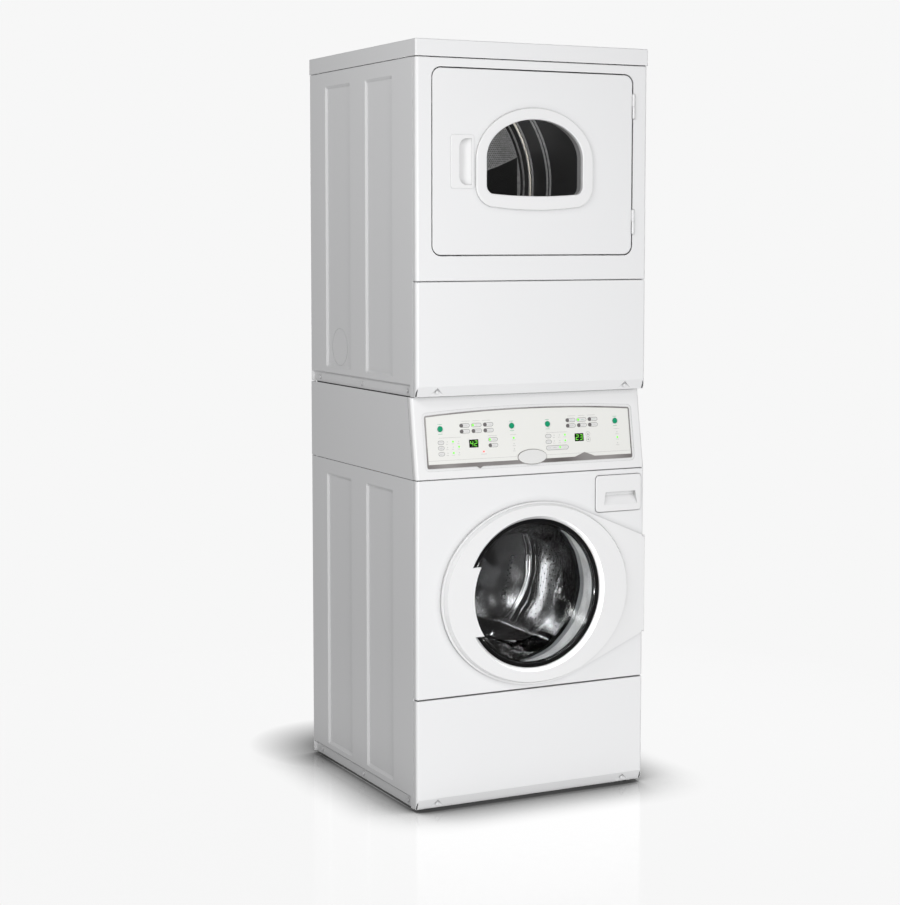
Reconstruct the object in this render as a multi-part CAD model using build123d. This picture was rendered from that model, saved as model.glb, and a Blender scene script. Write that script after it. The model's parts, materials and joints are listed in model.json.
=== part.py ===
"""Stacked commercial washer and tumble dryer, a tumble dryer standing on a front-load washer.

Lengths are millimetres, +Z is up and the front faces -Y. Every shape is laid out with y = 0 on the
front panels' outer plane and y growing towards the rear; write() then shifts each node so that the
origin lies under the middle of the machine, on the floor.
"""
from build123d import *
import math
import os

os.makedirs("parts", exist_ok=True)

# ---- driving dimensions -------------------------------------------------------------------
WIDTH = 683.0            # cabinet
DEPTH = 690.0            # front plane to rear panel
HEIGHT = 1984.0          # floor to top
FOOT = 8.0               # cabinet's clearance over the floor
SHEET = 1.2              # cabinet sheet steel
FLANGE = 17.5            # how far the front panels return along the sides
SEAM = 1.5               # gap between neighbouring panels
SIDE_R, EDGE_R = 8.0, 3.0   # rounding of the front panels' upright and level edges
HALF = WIDTH / 2

# panel breaks, bottom to top
TOE_TOP = 295.0
CONSOLE_LOW, CONSOLE_HIGH = 868.0, 1080.0
DECK = 1081.0            # underside of the dryer
ACCESS_TOP = 1374.0
LID_LOW = 1941.0
CONSOLE_RAKE = 34.0      # how far the console leans back over its height
BEVEL_H, BEVEL_D = 26.0, 10.0   # chamfer along the foot of the two plain front panels

# dryer
DOOR_X0, DOOR_X1, DOOR_Z0, DOOR_Z1 = -295.0, 295.0, 1442.0, 1913.5
DOOR_R, DOOR_GAP, DOOR_T = 24.0, 3.0, 19.0
HINGES = [(1800, 1864), (1496, 1560)]      # low and high ends of the door's two hinges
HANDLE = (-244.0, -177.0, 1611.0, 1747.0)  # the door pull's left, right, low and high edges
DRUM_Z, DRUM_R, DRUM_Y0, DRUM_Y1 = 1640.0, 321.0, 78.0, 612.0
BULKHEAD_Y, REAR_BULKHEAD_Y = 62.0, 624.0
MOTOR_X, MOTOR_Z = -110.0, 1195.0
MOTOR_PULLEY_R = 10.0
BAFFLE_HALF, BAFFLE_TALL = 42.0, 62.0      # each baffle's half width and height
BAFFLE_TURN = 60.0       # first baffle's place round the drum, from its low point
THIRD = 120.0            # turn between neighbours of three
BELT_Y, BELT_W = 330.0, 12.0
IDLER, IDLER_R = (8.0, 1222.0), 24.0
IDLER_PIVOT = (-18.0, 1118.0)
ARM_Y = BELT_Y + 12      # idler arm's front face
ROLLER_R, ROLLER_ANGLE = 38.0, 32.0
CHUTE_X0, CHUTE_X1, CHUTE_Y, CHUTE_LOW = -200.0, 170.0, 28.0, 1110.0
LINT = (-140.0, 140.0, 38.0, 47.0)         # lint filter's left, right, front and rear faces
LINT_TALL = 190.0
DUCT_X, DUCT_Z, DUCT_R = 110.0, 1160.0, 50.8
DUCT_STUB = 28.0         # exhaust pipe's length behind the rear panel
HEATER = (-185.0, -25.0, 1665.0, 1825.0)   # heater box's left, right, low and high faces
CABLE_HOLE = (-240.0, 1150.0, 14.0)        # hole for the supply cable: x, z and radius

# washer
TUB_X, TUB_Z, TUB_R = 0.0, 552.0, 292.0
TUB_Y0, TUB_Y1 = 105.0, 500.0
BASKET_R, BASKET_Y0, BASKET_Y1 = 262.0, 122.0, 478.0
LIFTER_HALF, LIFTER_TALL = 34.0, 48.0      # each lifter's half width and height
LIFTER_TURN = 200.0      # first lifter's place round the basket, from its low point
SPIDER_TURN = 30.0       # first spider arm's direction
MOUTH_R = 212.0          # hole in the washer's front panel
FRAME_X, FRAME_A, FRAME_B, FRAME_H = 8.0, 282.0, 243.0, 20.0   # washer door's oval
WING_H, WING_HALF = 8.5, 129.0   # door's wing, its thickness and half height at the hinge side
GLASS_R = 198.0
W_MOTOR_X, W_MOTOR_Z = 105.0, 135.0
PULLEY_R, PULLEY_Y = 148.0, 552.0
SPRING_X, SPRING_Y, SPRING_Z0 = 262.0, 300.0, 735.0
DAMPER_X, DAMPER_Y = 150.0, 270.0
GRIP_Z0, GRIP_Z1, GRIP_R = 453.0, 635.0, 184.0   # grip's low and high ends and inner radius
GRIP_T = 6.0
HOOK_Z0, HOOK_Z1 = 545.0, 561.0            # low and high edges of the door's hook
HOOK_ROOM = 4.0          # room above and below the hook in the front panel's slot
VALVE_XS, VALVE_Z = (-230.0, -170.0), 800.0      # hot and cold water inlets
PUMP_X, PUMP_Z = -180.0, 110.0
PUMP_HOLE_R = 18.0       # hole in the rear panel for each inlet and for the pump
TRAY_X0, TRAY_X1, TRAY_Z0, TRAY_Z1 = 189.0, 331.0, 754.0, 852.0   # detergent drawer's front
TRAY_DEPTH = 215.0       # how far back its cups reach
CUPS_X0, CUPS_X1 = 240.0, 322.0

# hinge lines, seen from above
DRYER_HINGE = (298.5, -1.0)
WASHER_HINGE = (337.3, -4.5)
CLEAR = 0.4              # between pieces that move past each other

# screws: along a side panel's foot, and in the dimples of the plain front panels
SCREW_YS, STRIP_SCREW_Z = (62, 348, 636), 13.5
DIMPLE_X, DIMPLE_Z = 280.0, 11.0
DIMPLE_DEPTH = BEVEL_D - 1.5
FEET = [(sx * (HALF - 42), y) for sx in (-1, 1) for y in (44, DEPTH - 28)]

# console buttons: x, and height on the sloping face
BUTTONS = {
    "washer_start_button": (-264.0, 996.0),
    "washer_stop_button": (-55.0, 996.0),
    "dryer_start_button": (52.5, 996.0),
    "dryer_stop_button": (260.0, 996.0),
}
BUTTON_R, BUTTON_PROUD, BUTTON_TALL = 7.5, 1.8, 7.0

ORIGIN_Y = (DEPTH + DUCT_STUB - FRAME_H) / 2   # middle of the depth, behind the front plane


# ---- helpers ------------------------------------------------------------------------------
def write(name, *solids):
    """Exports one node, shifted so that the machine's middle is at y = 0."""
    pieces = [s for shape in solids for s in shape.solids()]
    shape = pieces[0] if len(pieces) == 1 else Compound(children=pieces)
    export_step(Pos(0, -ORIGIN_Y, 0) * shape, f"parts/{name}.step")


def block(x0, x1, y0, y1, z0, z1):
    return Pos((x0 + x1) / 2, (y0 + y1) / 2, (z0 + z1) / 2) * Box(x1 - x0, y1 - y0, z1 - z0)


def prism(face, y0, y1):
    """A flat outline, drawn as (x, z), given depth from y0 back to y1."""
    return Pos(0, y0, 0) * extrude(Plane.XZ * face, amount=y1 - y0, dir=(0, 1, 0))


def across(face, x0, x1):
    """A flat outline, drawn as (y, z), carried from x0 to x1."""
    return Pos(x0, 0, 0) * extrude(Plane.YZ * face, amount=x1 - x0, dir=(1, 0, 0))


def rod(x, z, y0, y1, r):
    return prism(Pos(x, z) * Circle(r), y0, y1)


def tube(x, z, y0, y1, outer, inner):
    return prism(Pos(x, z) * (Circle(outer) - Circle(inner)), y0, y1)


def cone(x, z, y0, y1, r0, r1):
    """A cone frustum along y, radius r0 at y0 and r1 at y1."""
    return Pos(x, (y0 + y1) / 2, z) * Rot(-90, 0, 0) * Cone(r0, r1, y1 - y0)


def upright(x, y, z0, z1, r):
    return Pos(x, y, (z0 + z1) / 2) * Cylinder(r, z1 - z0)


def slab(x0, x1, z0, z1, r):
    """A rounded rectangle's outline."""
    return Pos((x0 + x1) / 2, (z0 + z1) / 2) * RectangleRounded(x1 - x0, z1 - z0, r)


def mirror_x(shape):
    return mirror(shape, Plane.YZ)


def soft_box(x0, x1, y0, y1, z0, z1, side_r, edge_r):
    """A block whose front upright edges and front level edges are rounded."""
    body = block(x0, x1, y0, y1, z0, z1)
    front = [e for e in body.edges().filter_by(Axis.Z) if abs(e.center().Y - y0) < 1e-6]
    body = fillet(front, side_r)
    level = [e for e in body.edges()
             if abs(e.center().Z - z0) < 1e-6 or abs(e.center().Z - z1) < 1e-6]
    level = [e for e in level if e.center().Y < y1 - 1e-3]
    return fillet(level, edge_r)


def pan(z0, z1, depth=FLANGE):
    """A front panel: folded sheet, open at the back."""
    t = SHEET
    outer = soft_box(-HALF, HALF, 0, depth, z0, z1, SIDE_R, EDGE_R)
    inner = soft_box(-HALF + t, HALF - t, t, depth + 10, z0 + t, z1 - t, SIDE_R - t, EDGE_R - t)
    return outer - inner


def pocket(y0, y1, z0, z1, depth, slope):
    """A pressed recess in a side panel, as the tool that forms it: +X is into the cabinet."""
    mouth = Plane.YZ * Pos((y0 + y1) / 2, (z0 + z1) / 2) * RectangleRounded(y1 - y0, z1 - z0, 6)
    floor = Plane.YZ * Pos((y0 + y1) / 2, (z0 + z1) / 2) * RectangleRounded(
        y1 - y0 - 2 * slope, z1 - z0 - 2 * slope, 4)
    return loft([mouth, Pos(depth, 0, 0) * floor])


def window_outline(x, z, half, rise, drop, corner, sag):
    """An arch over a shallow bowl: the dryer window's shape, z being where the arch springs."""
    edges = [
        EllipticalCenterArc((0, 0), half, rise, 0, arc_size=180),
        Line((-half, 0), (-half, corner - drop)),
        CenterArc((corner - half, corner - drop), corner, 180, 90),
        ThreePointArc((corner - half, -drop), (0, -drop - sag), (half - corner, -drop)),
        CenterArc((half - corner, corner - drop), corner, 270, 90),
        Line((half, corner - drop), (half, 0)),
    ]
    return Pos(x, z) * make_face(edges)


def belt_loop(circles, y0, y1, gap, thick):
    """A belt round pulleys given as (x, z, radius)."""
    def hull(extra):
        rings = [Pos(x, z) * Circle(r + extra) for x, z, r in circles]
        return make_hull([e for ring in rings for e in ring.edges()])
    return prism(hull(gap + thick), y0, y1) - prism(hull(gap), y0 - 1, y1 + 1)


def ridge(radius, half, height, y0, y1):
    """A hollow lifting ridge inside a drum of the given radius, standing on the drum's low side."""
    wall = 1.5

    def section(inset):
        top = half / 3 - inset / 2
        face = make_face(Polyline((inset - half, 0), (half - inset, 0), (top, height - inset),
                                  (-top, height - inset), close=True))
        return fillet([v for v in face.vertices() if v.Y > height / 2], 9 - inset)

    bar = prism(Pos(0, 3 - radius) * section(0), y0, y1)
    bar -= prism(Pos(0, 3 - radius) * section(wall), y0 + wall, y1 - wall)
    return bar & rod(0, 0, y0 - 1, y1 + 1, radius - 0.1)


def console_y(z):
    """Depth of the console's sloping face at height z."""
    return CONSOLE_RAKE * (z - CONSOLE_LOW) / (CONSOLE_HIGH - CONSOLE_LOW)


LEAN = math.degrees(math.atan2(CONSOLE_RAKE, CONSOLE_HIGH - CONSOLE_LOW))


def on_console(x, z):
    """A plane on the console's face at height z: its normal points out of the face, at the user."""
    return Location((x, console_y(z), z)) * Rot(90 - LEAN, 0, 0)


# ---- cabinet ------------------------------------------------------------------------------
def base_frame():
    rail = 36
    low, high = FOOT + 2, FOOT + 34
    outer = block(-HALF + 22, HALF - 22, 22, DEPTH - 6, low, high)
    frame = outer - block(-HALF + 22 + rail, HALF - 22 - rail, 22 + rail, DEPTH - 6 - rail, low - 1, high + 1)
    for y in (250, 470):
        frame += block(-HALF + 30, HALF - 30, y, y + 40, low, high)
    for x, y in FEET:
        frame -= upright(x, y, low - 1, high + 1, 6.3)
    return frame


def levelling_feet():
    feet = []
    for x, y in FEET:
        pad = upright(x, y, 0, 7, 19)
        pad = fillet(pad.edges().group_by(Axis.Z)[-1], 2.5)
        feet.append(pad + upright(x, y, 6, 48, 6) + Pos(x, y, 45) * extrude(RegularPolygon(10, 6), 6))
    return feet


KNOCKOUT_R = 52.0        # side vent's knockout
KNOCKOUT_Y, KNOCKOUT_Z = 496.0, 1185.0
# pressed pockets: front and rear edges
POCKETS = ((142, 312), (411, 581))
POCKET_LOW, POCKET_HIGH, POCKET_DEPTH, POCKET_SLOPE = 44.5, 38.0, 5.0, 8.0
STRIP_TOP, STRIP_DEPTH = 31.0, 6.0   # screw strip along the foot


def side_panel(z0, z1, knockout):
    """Left side panel: a folded sheet with two tall pressed pockets and a screw strip at its foot."""
    t, fold, y0 = SHEET, 14, FLANGE + SEAM
    outer = block(-HALF, -HALF + fold, y0, DEPTH, z0, z1)
    edges = [e for e in outer.edges().filter_by(Axis.Z) if e.center().X < -HALF + 1]
    outer = fillet(edges, 2.5)
    inner = block(-HALF + t, -HALF + fold + 5, y0 + t, DEPTH - t, z0 - 1, z1 + 1)
    panel = outer - inner
    pockets = [(front, rear, z0 + POCKET_LOW, z1 - POCKET_HIGH, POCKET_DEPTH, POCKET_SLOPE)
               for front, rear in POCKETS]
    pockets.append((35, DEPTH - 5, z0 - 12, z0 + STRIP_TOP, STRIP_DEPTH, STRIP_DEPTH))
    for p in pockets:
        skin = Pos(-HALF, 0, 0) * pocket(*p)
        back = Pos(-HALF + t, 0, 0) * pocket(p[0] - 0.5, p[1] + 0.5, *p[2:])
        back &= block(-HALF, -HALF + fold, y0 + 2, DEPTH - 2, z0, z1)
        panel = panel + back - skin
    for y in SCREW_YS:
        panel -= Pos(-HALF, y, z0 + STRIP_SCREW_Z) * Rot(0, 90, 0) * Cylinder(2.4, 40)
    if knockout:
        ring = Cylinder(KNOCKOUT_R, 20) - Cylinder(KNOCKOUT_R - 1.4, 30)
        score = Pos(-HALF + 5, KNOCKOUT_Y, KNOCKOUT_Z) * Rot(0, 90, 0) * ring
        panel -= score & block(-HALF + 4, -HALF + 5.5, 400, 600, 1100, 1300)
    return panel


def console_side_cover():
    """Left cover beside the console; its front edge leans with the console."""
    t, y0 = SHEET, FLANGE + SEAM
    low, high = CONSOLE_LOW, CONSOLE_HIGH - 1
    outline = make_face(Polyline(
        (y0, low), (DEPTH, low), (DEPTH, high), (y0 + console_y(high), high), close=True))
    inner_line = make_face(Polyline(
        (y0 + t, low - 1), (DEPTH - t, low - 1), (DEPTH - t, high + 1),
        (y0 + t + console_y(high), high + 1), close=True))
    return across(outline, -HALF, -HALF + 14) - across(inner_line, -HALF + t, -HALF + 20)


def top_panel():
    over, t = 1.5, SHEET
    x = HALF + over
    body = block(-x, x, -over, DEPTH + over, LID_LOW, HEIGHT)
    body = fillet(body.edges().filter_by(Axis.Z), 4)
    body = fillet(body.edges().group_by(Axis.Z)[-1], 3)
    inner = block(-x + t, x - t, -over + t, DEPTH + over - t, LID_LOW - 1, HEIGHT - t)
    inner = fillet(inner.edges().filter_by(Axis.Z), 4 - t)
    inner = fillet(inner.edges().group_by(Axis.Z)[-1], 3 - t)
    return body - inner


def rear_panel(z0, z1, holes):
    panel = block(-HALF + 16, HALF - 16, DEPTH - 4, DEPTH - 4 + SHEET, z0, z1)
    for x, z, r in holes:
        panel -= rod(x, z, DEPTH - 10, DEPTH + 5, r)
    return panel


def louvres(panel, x, z0, count, width=150):
    """Slots for air, in a row up the panel."""
    for i in range(count):
        z = z0 + 22 * i
        panel -= block(x - width / 2, x + width / 2, DEPTH - 10, DEPTH + 5, z, z + 7)
    return panel


def plain_front(z0, z1):
    """A plain front panel with a chamfered foot and two dimples that take its screws."""
    panel = pan(z0, z1)
    backing = block(-HALF + 6, HALF - 6, 1, BEVEL_D + 4, z0 + 0.6, z0 + BEVEL_H + 4)
    wedge = make_face(Polyline(
        (-5, z0 - 5), (-5, z0 + BEVEL_H), (0, z0 + BEVEL_H), (BEVEL_D, z0), (BEVEL_D, z0 - 5), close=True))
    panel = panel + backing - across(wedge, -HALF - 5, HALF + 5)
    for x in (-DIMPLE_X, DIMPLE_X):
        # a triangular dimple whose floor is upright, so that the screw sits square
        notch = make_face(Polyline((x - 21, z0 + 3), (x + 21, z0 + 3), (x, z0 + 22), close=True))
        dimple = prism(notch, -1, DIMPLE_DEPTH)
        panel = panel - dimple - rod(x, z0 + DIMPLE_Z, 0, 20, 2.2)
    return panel


def washer_front_panel():
    panel = pan(TOE_TOP + 3, CONSOLE_LOW - SEAM)
    panel -= rod(TUB_X, TUB_Z, -5, 30, MOUTH_R)
    panel += tube(TUB_X, TUB_Z, 0.4, 14, MOUTH_R + SHEET, MOUTH_R)
    panel -= block(-237, -205, -1, 20, HOOK_Z0 - HOOK_ROOM, HOOK_Z1 + HOOK_ROOM)
    tray = slab(TRAY_X0 - 1.5, TRAY_X1 + 1.5, TRAY_Z0 - 1.5, TRAY_Z1 + 1.5, 11.5)
    return panel - prism(tray, -5, 30)


def dryer_front_panel():
    g, t = DOOR_GAP, SHEET
    hole = slab(DOOR_X0 - g, DOOR_X1 + g, DOOR_Z0 - g, DOOR_Z1 + g, DOOR_R + g)
    ring = slab(DOOR_X0 - g - t, DOOR_X1 + g + t, DOOR_Z0 - g - t, DOOR_Z1 + g + t, DOOR_R + g + t)
    panel = pan(ACCESS_TOP + SEAM, LID_LOW - SEAM) - prism(hole, -5, 30)
    panel += prism(ring - hole, 0.4, 22)
    for z0, z1 in HINGES:
        panel -= block(DOOR_X1 - 2, DOOR_X1 + 9, -2, 6, z0 - 1, z1 + 1)
    return panel


# ---- console ------------------------------------------------------------------------------
CONSOLE_MID = (CONSOLE_LOW + CONSOLE_HIGH) / 2
# the control area on the console's slope, measured up the slope from the console's middle
TRIM_HALF, TRIM_FOOT, TRIM_SHOULDER, TRIM_RISE = 306.6, -79.0, 57.0, 11.5
BAND_TOP = -69.0
BADGE_UP, BADGE_A, BADGE_B = -62.0, 43.5, 20.0


def lean_prism(face, out, depth):
    """An outline on the console's face, from `out` proud of it to `depth` behind it. The outline's
    y is measured up the slope from the console's middle."""
    place = on_console(0, CONSOLE_MID)
    return place * Pos(0, 0, -depth) * extrude(face, amount=out + depth, dir=(0, 0, 1))


def trim_outline(grow):
    """The control area's frame: upright ends and a gently arched top."""
    half, low, high = TRIM_HALF + grow, TRIM_FOOT - grow, TRIM_SHOULDER + grow
    edges = [
        Line((-half, high), (-half, low)),
        Line((-half, low), (half, low)),
        Line((half, low), (half, high)),
        ThreePointArc((half, high), (0, high + TRIM_RISE), (-half, high)),
    ]
    return fillet(make_face(edges).vertices(), 5.5 + grow)


def console_labels(grow=0.0):
    """The band along the control area's foot, with a pointer down to the washer and up to the dryer."""
    wide, tall = 2 * TRIM_HALF - 4 + grow, BAND_TOP - TRIM_FOOT + grow
    band = Pos(0, (TRIM_FOOT + BAND_TOP) / 2) * Rectangle(wide, tall)
    down = Polyline((-181 - grow, BAND_TOP), (-130.5 + grow, BAND_TOP), (-155.8, -84.5 - grow), close=True)
    up = Polyline((129 - grow, TRIM_FOOT), (129 - grow, BAND_TOP), (159.3, -57.7 + grow),
                  (190 + grow, BAND_TOP), (190 + grow, TRIM_FOOT), close=True)
    return band + make_face(down) + make_face(up)


def console_fascia():
    t = 2.5
    low, high = CONSOLE_LOW, CONSOLE_HIGH - 1

    def section(inset, reach):
        top, base = high - inset, low + inset
        return make_face(Polyline(
            (console_y(base) + inset, base), (console_y(base) + reach, base),
            (console_y(top) + reach, top), (console_y(top) + inset, top), close=True))

    outer = across(section(0, FLANGE), -HALF, HALF)
    front = [e for e in outer.edges() if abs(abs(e.center().X) - HALF) < 1e-6
             and abs(e.center().Y - console_y(CONSOLE_MID - 0.5)) < 0.5]
    outer = fillet(front, SIDE_R)
    level = [e for e in outer.edges().filter_by(Axis.X)
             if min(abs(e.center().Y - console_y(z)) + abs(e.center().Z - z) for z in (low, high)) < 0.5]
    outer = fillet(level, 2.5)
    inner = across(section(t, FLANGE + 30), -HALF + 5, HALF - 5)
    fascia = outer - inner
    # the shallow well that the control area lies in
    fascia -= lean_prism(trim_outline(7.5), 5, 1.2)
    for x, z in BUTTONS.values():
        fascia -= on_console(x, z) * Cylinder(8.4, 30)
    return fascia


def console_trim():
    """The metallic frame round the control area, its ledge along the foot and a blank oval badge."""
    face = trim_outline(0) - trim_outline(-3.0) + console_labels()
    face -= Pos(0, BADGE_UP) * Ellipse(BADGE_A + 0.3, BADGE_B + 0.3)
    frame = lean_prism(face, 0.6, 1.15)
    badge = lean_prism(Pos(0, BADGE_UP) * Ellipse(BADGE_A, BADGE_B), 2.2, 1.15)
    rim = [e for e in badge.edges() if e.length > 100]
    badge = fillet(min(rim, key=lambda e: e.center().Y), 1.2)
    return [frame, badge]


def keypad_overlay():
    """The printed keypad film on its backing, inside the trim."""
    face = trim_outline(-3.4) - console_labels(0.8)
    face -= Pos(0, BADGE_UP) * Ellipse(BADGE_A + 0.7, BADGE_B + 0.7)
    film = max(lean_prism(face, 0.2, 1.15).solids(), key=lambda solid: solid.volume)
    for x, z in BUTTONS.values():
        film -= on_console(x, z) * Cylinder(BUTTON_R + CLEAR, 30)
    return film


def button(name):
    x, z = BUTTONS[name]
    cap = Cylinder(BUTTON_R, BUTTON_TALL)
    cap = fillet(cap.edges().group_by(Axis.Z)[-1], 1.0)
    # a flange behind the fascia keeps it in
    cap += Pos(0, 0, -3.0) * Cylinder(10, 1.2)
    return on_console(x, z) * Pos(0, 0, BUTTON_PROUD - BUTTON_TALL / 2) * cap


def control_board():
    """Circuit board behind the fascia, with the relays on its back."""
    front, back, relay_back = 9.0, 10.6, 22.0
    board = lean_prism(Rectangle(560, 110), -front, back)
    for x in (-210, -60, 90, 240):
        board += lean_prism(Pos(x, 20) * Rectangle(40, 26), -back, relay_back)
    return board


def hex_screw(across_corners, washer_r, head, flange, shank_r, shank):
    """A hexagon head on its flange, pointing along +Z, with a shank below."""
    body = extrude(RegularPolygon(across_corners, 6), head) + Cylinder(washer_r, flange)
    return body + Pos(0, 0, -shank / 2) * Cylinder(shank_r, shank)


def panel_screws():
    """Hexagon-headed screws along the foot of the side panels and in the front panels' dimples."""
    side_screw = hex_screw(4.6, 6.0, 3.2, 1.2, 2.2, 8)
    front_screw = hex_screw(4.2, 5.4, 3.0, 1.0, 2.0, 5)
    seat = HALF - STRIP_DEPTH + 0.7
    screws = []
    for base in (FOOT, DECK):
        for side in (-1, 1):
            turn = Rot(0, side * 90, 0)
            screws += [Pos(side * seat, y, base + STRIP_SCREW_Z) * turn * side_screw for y in SCREW_YS]
            at = Pos(side * DIMPLE_X, DIMPLE_DEPTH - 0.6, base + DIMPLE_Z)
            screws.append(at * Rot(90, 0, 0) * front_screw)
    return screws


# ---- dryer --------------------------------------------------------------------------------
# outlines as window_outline takes them: x, z, half, rise, drop, corner, sag
THROAT = (0.0, 1682.0, 205.0, 150.0, 165.0, 70.0, 0.5)
WINDOW = (0.0, 1690.0, 142.0, 100.0, 92.0, 22.0, 5.0)
BEZEL = (0.0, 1682.0, 173.0, 138.0, 118.0, 55.0, 7.0)


def grown(outline, by):
    """The same window outline, larger all round."""
    x, z, half, rise, drop, corner, sag = outline
    return window_outline(x, z, half + by, rise + by, drop + by, corner + by, sag)


def dryer_front_bulkhead():
    """Plate with the drum's front collar and the loading mouth, and the lint chute before it."""
    t = SHEET
    y = BULKHEAD_Y
    throat, skin = grown(THROAT, 0), grown(THROAT, t)
    plate = block(-HALF + 16, HALF - 16, y, y + t, 1100, LID_LOW - 10)
    plate += prism(skin, 24, y + t) + prism(grown(THROAT, 22), 24, 24 + t)
    plate += tube(0, DRUM_Z, y, DRUM_Y0 + 12, DRUM_R - 6, DRUM_R - 6 - t)
    plate -= prism(throat, 20, 90)
    plate -= rod(MOTOR_X, MOTOR_Z, y - 5, y + 5, 70)
    # slot in the mouth's floor for the lint filter
    slot_x0, slot_x1, y0, y1 = LINT
    plate -= block(slot_x0 - 1, slot_x1 + 1, y0 - 1, y1 + 1, 1480, 1560)
    # chute in front of the plate, from the slot down to the blower's inlet
    floor = THROAT[1] - THROAT[4] - 2.4
    chute = block(CHUTE_X0, CHUTE_X1, CHUTE_Y, y, CHUTE_LOW, floor)
    chute -= block(CHUTE_X0 + t, CHUTE_X1 - t, CHUTE_Y + t, y + 5, CHUTE_LOW + t, floor + 5)
    return [plate, chute]


def lint_filter():
    """A framed screen that lifts out of its slot by the bar along its top."""
    x0, x1, y0, y1 = LINT
    top = THROAT[1] - THROAT[4] + 9
    low = top - LINT_TALL
    frame = block(x0, x1, y0 + 1, y1 - 1, low, top - 12)
    frame -= block(x0 + 12, x1 - 12, y0, y1, low + 12, top - 26)
    frame += block(x0 + 10, x1 - 10, y0 + 3.6, y1 - 4.4, low + 8, top - 20)
    for i in range(1, 4):
        z = low + 12 + i * 38
        frame += block(x0 + 6, x1 - 6, y0 + 2.5, y1 - 2.5, z, z + 4)
    grip = block(x0, x1, y0, y1, top - 12, top)
    grip = fillet(grip.edges().filter_by(Axis.X).group_by(Axis.Z)[-1], 2.5)
    return frame + grip


def roller_places():
    """The two support rollers' axes, under the drum at either side."""
    away = DRUM_R + SHEET + ROLLER_R + CLEAR
    turn = math.radians(ROLLER_ANGLE)
    return [(side * away * math.sin(turn), DRUM_Z - away * math.cos(turn)) for side in (-1, 1)]


def dryer_rear_bulkhead():
    """Plate with the drum's rear collar, holes for the hot air and the rollers' pins."""
    t, y = SHEET, REAR_BULKHEAD_Y
    plate = block(-HALF + 16, HALF - 16, y, y + t, 1300, LID_LOW - 10)
    plate += tube(0, DRUM_Z, DRUM_Y1 - 14, y + t, DRUM_R - 6, DRUM_R - 6 - t)
    for row in range(4):
        for column in range(4):
            plate -= rod(-150 + 30 * column, 1700 + 30 * row, y - 5, y + 5, 7)
    for x, z in roller_places():
        plate += rod(x, z, y - 34, y + 0.5, 8)
    return plate


def support_roller(index):
    x, z = roller_places()[index]
    return tube(x, z, REAR_BULKHEAD_Y - 32, REAR_BULKHEAD_Y - 8, ROLLER_R, 8.05)


def dryer_drum():
    """The drum, open at both ends, with three lifting baffles."""
    shell = tube(0, DRUM_Z, DRUM_Y0, DRUM_Y1, DRUM_R + SHEET, DRUM_R)
    baffles = [Pos(0, 0, DRUM_Z) * Rot(0, BAFFLE_TURN + THIRD * k, 0)
               * ridge(DRUM_R, BAFFLE_HALF, BAFFLE_TALL, DRUM_Y0 + 30, DRUM_Y1 - 40) for k in range(3)]
    return [shell] + baffles


def drum_felt_seals():
    """Felt rings on the bulkheads' collars, which the drum's two ends run on."""
    outer, inner = DRUM_R - CLEAR, DRUM_R - 5.6
    front = tube(0, DRUM_Z, DRUM_Y0 + 1, DRUM_Y0 + 12, outer, inner)
    return [front, tube(0, DRUM_Z, DRUM_Y1 - 13, DRUM_Y1 - 1, outer, inner)]


def dryer_base_deck():
    t = 2.0
    deck = block(-HALF + 15, HALF - 15, 19, DEPTH - 6, DECK, DECK + t)
    deck += block(-HALF + 15, HALF - 15, 19, 19 + t, DECK, DECK + 40)
    x, y, z = MOTOR_X, 245, MOTOR_Z
    cradle = block(x - 80, x + 80, y - 30, y + 30, DECK + t - 0.1, z - 30) - rod(x, z, y - 40, y + 40, 66.4)
    px, pz = IDLER_PIVOT
    bracket = block(px - 16, px + 16, ARM_Y + 8, ARM_Y + 12, DECK, pz + 14)
    return deck + cradle + bracket - rod(px, pz, ARM_Y, ARM_Y + 30, 7.4)


def dryer_motor():
    """The motor's casing with its end bells; the shaft runs through it."""
    x, z = MOTOR_X, MOTOR_Z
    can = rod(x, z, 190, 300, 66)
    can += rod(x, z, 176, 190, 42) + rod(x, z, 300, 312, 42)
    return can - rod(x, z, 170, 320, 9)


def motor_shaft():
    """Shaft, belt pulley and blower wheel, which turn as one."""
    x, z = MOTOR_X, MOTOR_Z
    shaft = rod(x, z, 84, BELT_Y + 14, 6)
    shaft += rod(x, z, BELT_Y - 9, BELT_Y + 9, MOTOR_PULLEY_R)
    shaft += rod(x, z, BELT_Y - 9, BELT_Y - 7, 15) + rod(x, z, BELT_Y + 7, BELT_Y + 9, 15)
    hub = rod(x, z, 100, 134, 16) + rod(x, z, 130, 133, 82)
    for k in range(20):
        blade = block(60, 82, 84, 131, -1, 1)
        hub += Pos(x, 0, z) * Rot(0, 18 * k, 0) * blade
    hub += tube(x, z, 84, 87, 83, 62)
    return shaft + hub


def idler_arm():
    (px, pz), (ix, iz) = IDLER_PIVOT, IDLER
    rings = [Pos(px, pz) * Circle(13), Pos(ix, iz) * Circle(10)]
    arm = prism(make_hull([e for r in rings for e in r.edges()]), ARM_Y, ARM_Y + 4)
    arm += rod(ix, iz, ARM_Y - 24, ARM_Y + 1, 5)
    return arm + rod(px, pz, ARM_Y, ARM_Y + 22, 7)


def idler_pulley():
    x, z = IDLER
    return tube(x, z, BELT_Y - 8, BELT_Y + 8, IDLER_R, 5.05)


def drum_belt():
    circles = [(0, DRUM_Z, DRUM_R + SHEET), (MOTOR_X, MOTOR_Z, MOTOR_PULLEY_R), (*IDLER, IDLER_R)]
    return belt_loop(circles, BELT_Y - BELT_W / 2, BELT_Y + BELT_W / 2, CLEAR, 2.5)


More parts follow.
